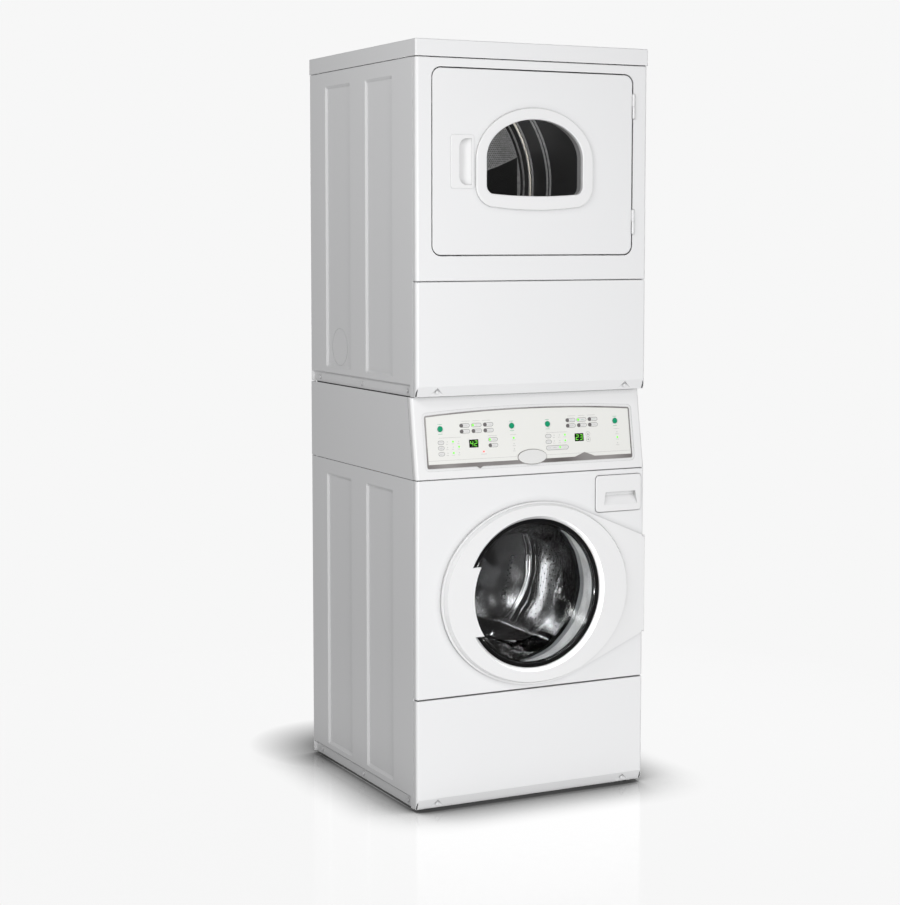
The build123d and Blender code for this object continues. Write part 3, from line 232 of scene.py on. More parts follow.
def felt(name, color):
    n = Nodes(name)
    fibres = n.noise(1400.0, 6.0, (1.0, 1.0, 3.0))
    n.link(n.ramp(fibres, 0.3, 0.7, shade(color, 0.6), color), n.shader.inputs["Base Color"])
    n.bump(fibres, 0.7, 0.001)
    n.set(Roughness=0.95, Sheen_Weight=0.4)
    return n.material


def cast(name, color):
    n = Nodes(name)
    n.link(n.ramp(n.noise(40.0, 6.0), 0.3, 0.75, shade(color, 0.6), shade(color, 1.2)),
           n.shader.inputs["Base Color"])
    n.bump(n.noise(240.0, 5.0), 0.5, 0.0012)
    n.set(Roughness=0.82)
    return n.material


def bowl_glass(name, tint, rough=0.012):
    """Pressed glass: clear, with the slow waves that pressing leaves."""
    n = Nodes(name)
    n.link(n.span(n.noise(14.0, 4.0), rough * 0.5, rough * 2.2, 0.4, 0.75), n.shader.inputs["Roughness"])
    n.bump(n.noise(9.0, 1.0), 0.9, 0.012)
    n.set(Base_Color=(*tint, 1), Transmission_Weight=1.0, IOR=1.47)
    return n.material


def smoked_glass(name, alpha):
    """Flat toughened glass with a smoked film: dark, seen through, with faint wipe marks."""
    n = Nodes(name)
    n.link(n.ramp(n.noise(11.0, 4.0), 0.3, 0.7, (0.008, 0.008, 0.008), (0.016, 0.016, 0.016)),
           n.shader.inputs["Base Color"])
    n.link(n.span(n.noise(14.0, 4.0), 0.02, 0.06, 0.4, 0.75), n.shader.inputs["Roughness"])
    n.set(Alpha=alpha, Specular_IOR_Level=0.8)
    return n.material


def painted_hole_shade(name):
    """Painted shade: the dark inside of a small hole, groove or hollow, drawn as a near-black mark."""
    n = Nodes(name)
    n.link(n.ramp(n.noise(800.0, 2.0), 0.3, 0.7, (0.004, 0.004, 0.004), (0.012, 0.012, 0.012)),
           n.shader.inputs["Base Color"])
    n.set(Roughness=0.8)
    return n.material


def lamp(name, color, strength):
    """A lit indicator, with a hint of diffuser texture."""
    n = Nodes(name)
    n.link(n.ramp(n.noise(1500.0, 2.0), 0.3, 0.7, shade(color, 0.8), color), n.shader.inputs["Base Color"])
    n.set(Emission_Color=(*color, 1), Emission_Strength=strength, Roughness=0.4)
    return n.material


def ink(name, color, rough=0.45):
    """Screen-printed ink on film, with the print's fine speckle."""
    n = Nodes(name)
    n.link(n.ramp(n.noise(2600.0, 2.0), 0.25, 0.7, shade(color, 0.9), shade(color, 1.04)),
           n.shader.inputs["Base Color"])
    n.link(n.span(n.noise(900.0, 2.0), rough * 0.85, rough * 1.15, 0.3, 0.7), n.shader.inputs["Roughness"])
    return n.material


def film(name, color):
    """Textured polyester keypad film."""
    n = Nodes(name)
    n.link(n.ramp(n.noise(8.0, 3.0), 0.3, 0.7, shade(color, 0.985), color), n.shader.inputs["Base Color"])
    n.bump(n.noise(1900.0, 2.0), 0.12, 0.0002)
    n.set(Roughness=0.36)
    return n.material


def metallic_trim(name):
    """The silvery frame line: its colour drifts between grey and near-white along its length, a painted
    reflection over its own faint metallic sheen.
    """
    n = Nodes(name)
    tone = n.ramp(n.noise(5.5, 1.0), 0.38, 0.62, (0.16, 0.145, 0.14), (0.42, 0.4, 0.395))
    n.link(tone, n.shader.inputs["Base Color"])
    n.bump(n.noise(1200.0, 2.0), 0.05, 0.0002)
    n.set(Roughness=0.3, Metallic=0.35)
    return n.material


WHITE = (0.865, 0.867, 0.875)
FINISH = {
    "white_paint": enamel("white_enamel", WHITE),
    "door_plastic": moulded("white_moulding", (0.87, 0.87, 0.875), 0.3, 0.03),
    "overlay_film": film("keypad_film", (0.86, 0.86, 0.83)),
    "trim_metallic": metallic_trim("trim_metallic"),
    "button_green": moulded("button_green", (0.0, 0.32, 0.15), 0.3, 0.05),
    "zinc_steel": galvanised("zinc_steel", (0.6, 0.61, 0.62)),
    "stainless": brushed("stainless", (0.55, 0.55, 0.555)),
    "clear_glass": bowl_glass("clear_glass", (0.95, 0.96, 0.96)),
    "rubber_grey": rubber("rubber_grey", (0.66, 0.66, 0.665), 0.4),
    "rubber_black": rubber("rubber_black", (0.018, 0.018, 0.019)),
    "felt": felt("felt", (0.6, 0.57, 0.5)),
    "motor_paint": moulded("motor_paint", (0.02, 0.02, 0.022), 0.5, 0.1, 500.0),
    "cast_weight": cast("cast_weight", (0.12, 0.12, 0.125)),
    "grey_plastic": moulded("grey_plastic", (0.3, 0.31, 0.32), 0.5, 0.12, 600.0),
    "circuit_green": moulded("circuit_green", (0.02, 0.12, 0.05), 0.45, 0.05),
    "brass": brushed("brass", (0.72, 0.5, 0.2), 0.3),
}


# nodes that look different from the rest of their material slot
SPECIAL = {
    "dryer_window_glass": smoked_glass("smoked_glass", 0.2),
    "wash_drum": polished("basket_steel", (0.36, 0.36, 0.365)),
    # the dryer's drum: its steel coloured dark, as painted shade on its wall
    "dryer_drum": brushed("drum_steel_painted_shade", (0.16, 0.16, 0.163), 0.38, (1.0, 30.0, 1.0)),
    "dryer_rear_bulkhead": galvanised("screen_zinc", (0.7, 0.7, 0.7)),
    "washer_door_inner": moulded("clamp_grey", (0.16, 0.16, 0.163), 0.15),
    "dryer_door_liner": FINISH["white_paint"],
    "panel_screws": FINISH["white_paint"],
    "hinge_and_latch_set": FINISH["white_paint"],
}


def dress_nodes():
    """Gives every CAD node the finish of its material slot, or its own special finish."""
    slots = {part["node"]: part["material_slot"] for part in frame["record"]["subparts"]}
    for name, node in NODES.items():
        node.data.materials.clear()
        node.data.materials.append(SPECIAL.get(name, FINISH[slots[name]]))


# ---- mesh helpers ---------------------------------------------------------------------------
def piece(name, verts, faces, material, body, smooth=False):
    mesh = bpy.data.meshes.new(name)
    mesh.from_pydata([tuple(v) for v in verts], [], faces)
    mesh.validate()
    mesh.materials.append(material)
    tidy = bmesh.new()
    tidy.from_mesh(mesh)
    bmesh.ops.recalc_face_normals(tidy, faces=tidy.faces)
    tidy.to_mesh(mesh)
    tidy.free()
    for polygon in mesh.polygons:
        polygon.use_smooth = smooth
    thing = bpy.data.objects.new(name, mesh)
    bpy.context.scene.collection.objects.link(thing)
    if body:
        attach(thing, body)
    return thing


class Sheet:
    """Collects many small plates into one mesh."""

    def __init__(self, place):
        self.place = place
        self.verts, self.faces = [], []

    def plate(self, outline, low, high):
        """A thin plate with the given outline, its face at high and its foot at low."""
        start, count = len(self.verts), len(outline)
        self.verts += [self.place(u, v, low) for u, v in outline]
        self.verts += [self.place(u, v, high) for u, v in outline]
        self.faces.append([start + count + i for i in range(count)])
        self.faces.append([start + i for i in reversed(range(count))])
        for i in range(count):
            j = (i + 1) % count
            self.faces.append([start + i, start + j, start + count + j, start + count + i])

    def band(self, outer, inner, low, high):
        """A thin ring between two outlines with the same number of points."""
        start, count = len(self.verts), len(outer)
        for outline, level in ((outer, low), (inner, low), (outer, high), (inner, high)):
            self.verts += [self.place(u, v, level) for u, v in outline]
        for i in range(count):
            j = (i + 1) % count
            o0, i0, o1, i1 = start, start + count, start + 2 * count, start + 3 * count
            self.faces.append([o1 + i, o1 + j, i1 + j, i1 + i])
            self.faces.append([o0 + j, o0 + i, i0 + i, i0 + j])
            self.faces.append([o0 + i, o0 + j, o1 + j, o1 + i])
            self.faces.append([i0 + j, i0 + i, i1 + i, i1 + j])

    def make(self, name, material, body, slot):
        return piece(name, self.verts, self.faces, material, body)


def on_console(u, v, lift):
    """u across, v up the slope from the console's middle and lift out of the face, all in mm."""
    u, v, lift = u * MM, v * MM, lift * MM
    y = CONSOLE_MID_Y + v * math.sin(LEAN) - lift * math.cos(LEAN)
    z = CONSOLE_MID + v * math.cos(LEAN) + lift * math.sin(LEAN)
    return Vector((u, y, z))


def slope(z):
    """Distance up the slope, in mm, of a height z in mm."""
    return (z - CONSOLE_MID / MM) / math.cos(LEAN)


def capsule(u, v, width, height, steps=10):
    r = height / 2
    reach = width / 2 - r
    points = []
    for i in range(steps + 1):
        a = -math.pi / 2 + math.pi * i / steps
        points.append((u + reach + r * math.cos(a), v + r * math.sin(a)))
    for i in range(steps + 1):
        a = math.pi / 2 + math.pi * i / steps
        points.append((u - reach + r * math.cos(a), v + r * math.sin(a)))
    return points


def disc(u, v, r, steps=32):
    return [(u + r * math.cos(2 * math.pi * i / steps), v + r * math.sin(2 * math.pi * i / steps))
            for i in range(steps)]


def bar(u, v, width, height):
    w, h = width / 2, height / 2
    return [(u - w, v - h), (u + w, v - h), (u + w, v + h), (u - w, v + h)]


def lathe(name, x, z, profile, material, body, steps=96):
    """Turns a closed profile of (radius, y) round an axis along y through x, z."""
    verts, faces = [], []
    count = len(profile)
    for i in range(steps):
        a = 2 * math.pi * i / steps
        verts += [(x + r * math.cos(a), y, z + r * math.sin(a)) for r, y in profile]
    for i in range(steps):
        here, there = i * count, (i + 1) % steps * count
        for k in range(count):
            m = (k + 1) % count
            faces.append([here + k, here + m, there + m, there + k])
    return piece(name, verts, faces, material, body, smooth=True)


def pipe(name, path, radius, ring, material):
    """A round wire along a path, closed at its ends."""
    verts, faces = [], []
    up = Vector((0, 0, 1))
    for i, at in enumerate(path):
        ahead = (path[min(i + 1, len(path) - 1)] - path[max(i - 1, 0)]).normalized()
        side = ahead.cross(up).normalized()
        over = side.cross(ahead)
        for k in range(ring):
            a = 2 * math.pi * k / ring
            verts.append(at + side * radius * math.cos(a) + over * radius * math.sin(a))
    for i in range(len(path) - 1):
        for k in range(ring):
            m = (k + 1) % ring
            faces.append([i * ring + k, i * ring + m, (i + 1) * ring + m, (i + 1) * ring + k])
    faces.append(list(range(ring)))
    faces.append([(len(path) - 1) * ring + k for k in reversed(range(ring))])
    return piece(name, verts, faces, material, None, smooth=True)


def on_back_plate(y):
    """Places u, v (metres, from the tub's axis) on an upright plane at depth y, facing the door."""
    return lambda u, v, lift: Vector((TUB_X + u, y - lift, TUB_Z + v))


def on_wall(radius, x, z, angle, y):
    """Places u round and v along a drum's inner wall, near one spot on it."""
    def place(u, v, lift):
        a = angle + u / radius
        r = radius - lift
        return Vector((x + r * math.cos(a), y + v, z + r * math.sin(a)))
    return place


# ---- the washer's basket and gasket -----------------------------------------------------------
PAINTED_HOLE_SHADE = painted_hole_shade("painted_hole_shade")
# dark brushed metal, for painted shade in the dryer screen's holes and for the dark plate under the screen
HOLE_SHADE_AND_DARK_PLATE = brushed("hole_shade_and_dark_plate", (0.1, 0.1, 0.102), 0.4)
HOLE_R = 2.5 * MM
# three groups on the basket's back: two rows of holes between a pair of screws; the holes, a ring round
# each screw and its recess are marks of painted shade
BACK_TURN = -14                      # first group's direction, in degrees
HOLE_ROW_R, HOLE_PITCH, ZIGZAG = 185 * MM, 15 * MM, 4 * MM
SCREW_ROW_R, SCREW_REACH = 187 * MM, 60 * MM
SEAM_R = BASKET_R - 21 * MM          # where the basket's wall is seamed to its back


def build_basket():
    back_y = BASKET_HIGH.y - 1.2 * MM
    wall_r = BASKET_R - 1.2 * MM
    # rounded corner between wall and back, and the seam that closes it, drawn as a ring of painted shade
    corner = BASKET_R - 1.4 * MM - SEAM_R
    profile = []
    for i in range(9):
        a = math.pi / 2 * i / 8
        profile.append((SEAM_R + corner * math.sin(a), back_y - 0.4 * MM - corner + corner * math.cos(a)))
    profile += [(wall_r - 0.1 * MM, back_y - 0.2 * MM), (SEAM_R, back_y - 0.2 * MM)]
    lathe("wash_drum_corner", TUB_X, TUB_Z, profile, SPECIAL["wash_drum"], "basket")
    seam = [(SEAM_R - 3 * MM, back_y - 0.1 * MM), (SEAM_R - 3 * MM, back_y - 0.5 * MM),
            (SEAM_R - 0.6 * MM, back_y - 0.5 * MM), (SEAM_R - 0.6 * MM, back_y - 0.1 * MM)]
    lathe("wash_drum_seam", TUB_X, TUB_Z, seam, PAINTED_HOLE_SHADE, "basket")

    plate, heads = Sheet(on_back_plate(back_y)), Sheet(on_back_plate(back_y))
    for k in range(3):
        a = math.radians(BACK_TURN + 120 * k)
        away, along = Vector((math.cos(a), math.sin(a))), Vector((-math.sin(a), math.cos(a)))
        for row in (-1, 1):
            for i in range(8):
                at = away * (HOLE_ROW_R + ZIGZAG * row) + along * (HOLE_PITCH * (i - 3.5) + ZIGZAG * row)
                plate.plate(disc(at.x, at.y, HOLE_R, 8), 0.0, 0.2 * MM)
        for end in (-1, 1):
            at = away * SCREW_ROW_R + along * SCREW_REACH * end
            plate.band(disc(at.x, at.y, 7 * MM, 20), disc(at.x, at.y, 4.6 * MM, 20), 0.0, 0.4 * MM)
            plate.plate(disc(at.x, at.y, 2 * MM, 8), 0.0, 2.4 * MM)
            heads.band(disc(at.x, at.y, 4.4 * MM, 12), disc(at.x, at.y, 2.1 * MM, 12), 0.0, 2.2 * MM)
    plate.make("wash_drum_back_holes", PAINTED_HOLE_SHADE, "basket", "stainless")
    heads.make("wash_drum_screws", FINISH["zinc_steel"], "basket", "stainless")

    # the wall's holes, drawn as discs of painted shade
    holes = Sheet(None)
    rows, columns = 22, 60
    for row in range(rows):
        y = BASKET_LOW.y + 16 * MM + (BASKET_HIGH.y - BASKET_LOW.y - 52 * MM) * row / (rows - 1)
        for c in range(columns):
            a = 2 * math.pi * (c + 0.5 * (row % 2)) / columns
            holes.place = on_wall(wall_r, TUB_X, TUB_Z, a, y)
            holes.plate(disc(0, 0, HOLE_R, 8), 0.05 * MM, 0.3 * MM)
    holes.make("wash_drum_wall_holes", PAINTED_HOLE_SHADE, "basket", "stainless")


def build_gasket():
    """Rubber bellows from the front panel's mouth to the tub, with a lip that the glass rests in."""
    low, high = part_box("door_gasket")
    outer = (high.x - low.x) / 2
    y0, y1 = low.y, high.y
    wall = 2.4 * MM
    line = []
    steps = 46
    for i in range(steps + 1):
        t = i / steps
        y = y0 + 3 * MM + (y1 - y0 - 6 * MM) * t
        fold = math.sin(t * math.pi * 5.0) * 4.5 * MM * math.sin(t * math.pi)
        radius = outer - 3 * MM - (8 * MM if t < 0.2 else 8 * MM * (1 - t)) + fold - 1.5 * MM
        line.append((radius, y))
    profile = [(r, y) for r, y in line] + [(r - wall, y) for r, y in reversed(line)]
    bellows = lathe("door_gasket_bellows", TUB_X, TUB_Z, profile, FINISH["rubber_grey"], None)
    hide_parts("door_gasket")
    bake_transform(bellows)


def build_springs():
    """The tub's hanging springs, which stretch between the cabinet and the tub."""
    low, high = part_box("tub_springs")
    radius, wire = 11 * MM, 2.2 * MM
    for side in (-1, 1):
        x = side * (high.x - radius - wire)
        y = (low.y + high.y) / 2
        turns, per_turn, ring = 12, 20, 8
        path = []
        for i in range(turns * per_turn + 1):
            a = 2 * math.pi * i / per_turn
            z = low.z + 5 * MM + (high.z - low.z - 10 * MM) * i / (turns * per_turn)
            path.append(Vector((x + radius * math.cos(a), y + radius * math.sin(a), z)))
        name = "tub_spring_left" if side < 0 else "tub_spring_right"
        spring = pipe(name, path, wire, ring, FINISH["zinc_steel"])
        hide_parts("tub_springs")
        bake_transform(spring)


# ---- the dryer's drum and rear wall -----------------------------------------------------------
SCREEN_R, SCREEN_LOW, SCREEN_BOW = 299 * MM, 11 * MM, 0.845
BEADS = (0.237, 0.151, 0.133)        # ridges rolled into the drum's wall, along y
BEAD_R = 4 * MM


def arc_z(x):
    """Height over the drum's axis of the screen's lower edge at x, both in metres."""
    return SCREEN_LOW + SCREEN_BOW * x * x


def build_dryer_inside():
    wall = REAR_WALL_Y - 1.2 * MM

    def on_wall_plate(u, v, lift):
        return Vector((u, wall - lift, DRUM_Z + v))

    # the screen's holes, drawn as discs of painted shade
    holes = Sheet(on_wall_plate)
    pitch = 6.5 * MM
    count = int(SCREEN_R / pitch)
    for i in range(-count, count + 1):
        for k in range(0, count + 8):
            u, v = pitch * (i + 0.5 * (k % 2)), pitch * 0.87 * k
            if math.hypot(u, v) < SCREEN_R - 5 * MM and v > arc_z(u) + 4 * MM:
                holes.plate(disc(u, v, 1.7 * MM, 6), 0.0, 0.2 * MM)
    holes.make("dryer_screen_holes", HOLE_SHADE_AND_DARK_PLATE, "cabinet", "zinc_steel")

    # a dark plate under the screen, below an arched line, with a pale strip along the arch
    half = 0.2875
    steps = [half * (i / 24 * 2 - 1) for i in range(25)]
    plate = Sheet(on_wall_plate)
    rim = Sheet(on_wall_plate)
    for a, b in zip(steps, steps[1:]):
        feet = [(x, -math.sqrt(SCREEN_R ** 2 - x * x)) for x in (a, b)]
        plate.plate([feet[0], feet[1], (b, arc_z(b)), (a, arc_z(a))], 0.0, 0.5 * MM)
        lower, upper = [(a, arc_z(a)), (b, arc_z(b))], [(b, arc_z(b) + 4 * MM), (a, arc_z(a) + 4 * MM)]
        rim.plate(lower + upper, 0.0, 1.2 * MM)
    plate.make("dryer_rear_plate", HOLE_SHADE_AND_DARK_PLATE, "cabinet", "zinc_steel")
    rim.make("dryer_rear_plate_rim", SPECIAL["dryer_rear_bulkhead"], "cabinet", "zinc_steel")

    # painted shade in a groove round the screen, and on the inside of the collar
    groove = [(SCREEN_R, wall - 0.6 * MM), (SCREEN_R + 8 * MM, wall - 0.6 * MM),
              (SCREEN_R + 8 * MM, wall), (SCREEN_R, wall)]
    lathe("dryer_screen_groove", 0, DRUM_Z, groove, PAINTED_HOLE_SHADE, "cabinet")
    collar = DRUM_R - 7.3 * MM
    sleeve = [(collar - 0.3 * MM, wall - 0.1 * MM), (collar - 0.3 * MM, wall - 23 * MM),
              (collar, wall - 23 * MM), (collar, wall - 0.1 * MM)]
    lathe("dryer_collar_lining", 0, DRUM_Z, sleeve, PAINTED_HOLE_SHADE, "cabinet")

    # the beads take the rear wall's pale zinc, much brighter than the dark drum steel they are rolled into:
    # painted highlights along the beads
    for n, y in enumerate(BEADS):
        profile = []
        for i in range(9):
            a = math.pi * i / 8
            profile.append((DRUM_R - 0.1 * MM - BEAD_R * math.sin(a), y + BEAD_R * math.cos(a)))
        lathe(f"dryer_drum_bead_{n + 1}", 0, DRUM_Z, profile, SPECIAL["dryer_rear_bulkhead"], "dryer_drum")


BADGE_A, BADGE_B, BADGE_RIM = 43.5, 20.0, 1.4   # the badge's half axes, and its rounded rim's width
BADGE_UP, BADGE_TOP = -62.0, 2.2               # its place up the slope, and its face over the console


def build_badge():
    """The blank badge's pale face, inside its metallic rim."""
    face = Sheet(on_console)
    a, b = BADGE_A - BADGE_RIM, BADGE_B - BADGE_RIM
    oval = [(a * math.cos(math.pi * i / 32), BADGE_UP + b * math.sin(math.pi * i / 32)) for i in range(64)]
    face.plate(oval, BADGE_TOP - 0.1, BADGE_TOP + 0.05)
    face.make("console_badge_face", WHITE_INK, "cabinet", "trim_metallic")


def build_bumpers():
    """White moulded buffers that the dryer's door closes on, seen in the gap at its left."""
    low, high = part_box("dryer_door_outer")
    verts, faces = [], []
    for z in (0.18, 0.5, 0.82):
        at = low.z + (high.z - low.z) * z
        start = len(verts)
        for x, y in ((-2.6, 4), (-2.6, 15), (-0.4, 15), (-0.4, 4)):
            for dz in (-3, 3):
                verts.append((low.x + x * MM, FRONT_Y + y * MM, at + dz * MM))
        for i in range(4):
            a, b = start + 2 * i, start + 2 * ((i + 1) % 4)
            faces.append([a, b, b + 1, a + 1])
        faces.append([start, start + 2, start + 4, start + 6])
        faces.append([start + 1, start + 3, start + 5, start + 7])
    piece("dryer_door_buffers", verts, faces, FINISH["door_plastic"], "cabinet")


# ---- the printed console --------------------------------------------------------------------
PRINT = 0.22          # the film's face, over the console's plane
BUTTON_NODES = ("washer_start_button", "washer_stop_button", "dryer_start_button", "dryer_stop_button")
GREY_INK = ink("grey_ink", (0.24, 0.235, 0.23))
PALE_INK = ink("pale_ink", (0.42, 0.41, 0.4))
DARK_INK = ink("dark_ink", (0.15, 0.14, 0.14))
WHITE_INK = ink("white_ink", (0.8, 0.8, 0.79))
GREEN_INK = ink("green_ink", (0.04, 0.4, 0.2))
SCREEN = moulded("display_window", (0.006, 0.008, 0.006), 0.12, 0.0)
GREEN_LAMP = lamp("green_lamp", (0.16, 0.72, 0.05), 0.75)
DIM_LAMP = ink("dim_lamp", (0.62, 0.64, 0.6))
RED_LAMP = lamp("red_lamp", (0.9, 0.04, 0.03), 1.0)

SEGMENTS = {"2": "abged", "3": "abgcd", "4": "fgbc"}
DIGIT_SLANT = 0.08


def digit(sheet, text, u, v, width, height):
    """Seven-segment digit centred on u, v."""
    t = width * 0.2
    w, h = width / 2, height / 2
    places = {"a": (0, h, 1), "g": (0, 0, 1), "d": (0, -h, 1), "f": (-w, h / 2, 0),
              "b": (w, h / 2, 0), "e": (-w, -h / 2, 0), "c": (w, -h / 2, 0)}
    for name in SEGMENTS[text]:
        du, dv, level = places[name]
        long, half = (w - t * 0.35, t / 2) if level else (h / 2 - t * 0.35, t / 2)
        tip = long + half
        ends = [(-tip, 0), (-long, half), (long, half), (tip, 0), (long, -half), (-long, -half)]
        outline = []
        for a, b in ends:
            x, y = (du + a, dv + b) if level else (du + b, dv + a)
            outline.append((u + x + DIGIT_SLANT * y, v + y))
        sheet.plate(outline, PRINT + 0.1, PRINT + 0.22)


def key_oval(lines, caps, u, v, width, height, half_dark=None):
    """A key drawn as an oval outline, with a dark lamp end on selector keys."""
    lines.band(capsule(u, v, width, height), capsule(u, v, width - 2.0, height - 2.0), PRINT, PRINT + 0.12)
    caps.plate(capsule(u, v, width - 1.8, height - 1.8), PRINT - 0.02, PRINT + 0.06)
    if half_dark:
        half_dark.plate(capsule(u - width * 0.3, v, width * 0.34, height - 1.4), PRINT + 0.02, PRINT + 0.14)


def words(sheet, u, v, width, height=0.9):
    """Stand-in for a printed caption: a short row of dashes."""
    start = u - width / 2
    while start < u + width / 2 - 1.0:
        length = min(2.6, u + width / 2 - start)
        sheet.plate(bar(start + length / 2, v, length, height), PRINT - 0.02, PRINT + 0.06)
        start += length + 0.9


class Prints:
    """The console's printing: one sheet for each ink, lamp colour and raised face."""

    def __init__(self):
        self.lines, self.caps, self.halo = (Sheet(on_console) for _ in range(3))
        self.pale, self.dark, self.green = (Sheet(on_console) for _ in range(3))
        self.lit, self.dim, self.red = (Sheet(on_console) for _ in range(3))
        self.screen, self.digits = (Sheet(on_console) for _ in range(2))

    def key(self, u, v, width, height=10.5, marked=False):
        """A membrane key, with a dark end where it is marked."""
        key_oval(self.lines, self.caps, u, v, width, height, self.dark if marked else None)

    def indicator(self, u, v, on, dim_r, lit_r):
        """A round lamp, wider when it is lit."""
        sheet = self.lit if on else self.dim
        sheet.plate(disc(u, v, lit_r if on else dim_r, 16), PRINT + 0.02, PRINT + 0.25)


def selector_keys(prints, columns, rows):
    """Three by two keys, the upper middle one chosen, with captions over them."""
    for r, z in enumerate(rows):
        for c, u in enumerate(columns):
            v = slope(z)
            chosen = r == 0 and c == 1
            prints.key(u, v, 30, marked=not chosen)
            words(prints.green if r == 0 and u > 0 else prints.pale, u + 5, v, 11)
            if chosen:
                prints.lit.plate(capsule(u - 10, v, 6.5, 6.0), PRINT + 0.05, PRINT + 0.3)
    for du, width in ((-30, 24), (0, 20), (30, 24)):
        words(prints.pale, columns[1] + du, slope(rows[0] + 11), width, 0.8)


def option_key(prints, z, key_u, lamps, lit_u):
    """A key with its row of lamps, one of them lit."""
    v = slope(z)
    prints.key(key_u, v, 18)
    words(prints.pale, key_u, v, 9)
    for u in lamps:
        prints.indicator(u, v + 1.5, u == lit_u, 1.5, 2.6)
        words(prints.pale, u, v - 4.2, 8)


def level_key(prints):
    """The dryer's wide key, with its lamp inside."""
    prints.key(77.6, slope(933), 68, 12)
    for u in (53, 70, 101):
        words(prints.pale, u, slope(933), 11, 1.0)
    prints.lit.plate(disc(86, slope(934), 2.6, 16), PRINT + 0.05, PRINT + 0.3)


def washer_side_keys(prints):
    """The washer's second pair of keys, and its door-lock lamp."""
    for z, chosen in ((963, True), (948, False)):
        prints.key(-113, slope(z), 28, marked=not chosen)
        words(prints.pale, -108, slope(z), 11)
        if chosen:
            prints.lit.plate(capsule(-122, slope(z), 6.0, 6.0), PRINT + 0.05, PRINT + 0.3)
    words(prints.pale, -113, slope(973), 26, 0.8)
    prints.red.plate(bar(-142, slope(933), 4.4, 3.6), PRINT + 0.02, PRINT + 0.3)
    words(prints.pale, -142, slope(926.5), 16)


def arrow_keys(prints):
    """The dryer's up and down keys."""
    for z, way in ((964, 1), (950, -1)):
        v = slope(z)
        prints.lines.band(disc(173.6, v, 6.6), disc(173.6, v, 6.0), PRINT, PRINT + 0.12)
        arrow = [(171, v - 1.6 * way), (176.2, v - 1.6 * way), (173.6, v + 2.4 * way)]
        prints.dark.plate(arrow[::way], PRINT, PRINT + 0.12)


def status_lamps(prints, u, places, on):
    """A column of lamps, one of them lit."""
    for i, z in enumerate(places):
        prints.indicator(u, slope(z) + 1, i == on, 1.6, 2.7)
        words(prints.pale, u, slope(z) - 4.4, 9)
    words(prints.pale, u, slope(places[0] + 10), 18, 0.8)


def display(prints, u, z, number):
    """A dark window with two generic lit digits."""
    v = slope(z)
    prints.screen.plate(bar(u, v, 27, 21), PRINT, PRINT + 0.1)
    for du, mark in ((-6.0, number[0]), (6.0, number[1])):
        digit(prints.digits, mark, u + du, v, 6.6, 13.0)


def button_rings(prints):
    """A ring round each start and stop button, and captions over and under it."""
    for name in BUTTON_NODES:
        low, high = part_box(name)
        u = (low.x + high.x) / 2 / MM
        v = slope((low.z + high.z) / 2 / MM)
        prints.halo.band(disc(u, v, 10.2, 40), disc(u, v, 8.0, 40), PRINT, PRINT + 0.15)
        for dv in (12.6, -12.6):
            words(prints.green, u, v + dv, 12, 1.1)


def build_console():
    prints = Prints()
    selector_keys(prints, (-193, -158.5, -124), (1002, 987))
    selector_keys(prints, (123, 157, 191), (1003, 988.5))
    for z, lit_u in ((961, -229.5), (947, -213), (932, -229.5)):
        option_key(prints, z, -264, (-246, -229.5, -213), lit_u)
    for z in (964, 949):
        option_key(prints, z, 52.5, (70, 86.4, 103), 103)
    level_key(prints)
    for u in (-238, 78):
        words(prints.pale, u, slope(973), 62, 0.8)
    washer_side_keys(prints)
    arrow_keys(prints)
    status_lamps(prints, -51.5, (963, 948, 934.5), 0)
    status_lamps(prints, 264, (965, 951, 936), 1)
    display(prints, -169.5, 955, "42")
    display(prints, 146, 957, "23")
    button_rings(prints)
    # the fine line along the foot, above the band
    for a, b in ((-303, -40), (40, 303)):
        prints.pale.plate(bar((a + b) / 2, slope(915.5), b - a, 0.5), PRINT - 0.02, PRINT + 0.05)

    for sheet, name, material in (
            (prints.lines, "console_key_outlines", GREY_INK),
            (prints.pale, "console_captions", PALE_INK),
            (prints.green, "console_green_captions", GREEN_INK),
            (prints.dark, "console_key_marks", DARK_INK),
            (prints.caps, "console_key_faces", WHITE_INK),
            (prints.halo, "console_button_rings", WHITE_INK),
            (prints.screen, "console_display_windows", SCREEN),
            (prints.digits, "console_display_digits", GREEN_LAMP),
            (prints.lit, "console_lit_lamps", GREEN_LAMP),
            (prints.dim, "console_dark_lamps", DIM_LAMP),
            (prints.red, "console_lock_lamp", RED_LAMP)):
        sheet.make(name, material, "cabinet", "overlay_film")


# ---- studio ---------------------------------------------------------------------------------
def build_floor():
    size = 9.0
    floor = piece("studio_floor", [(-size, -size, 0), (size, -size, 0), (size, size, 0), (-size, size, 0)],
                  [(0, 1, 2, 3)], floor_material(), None)


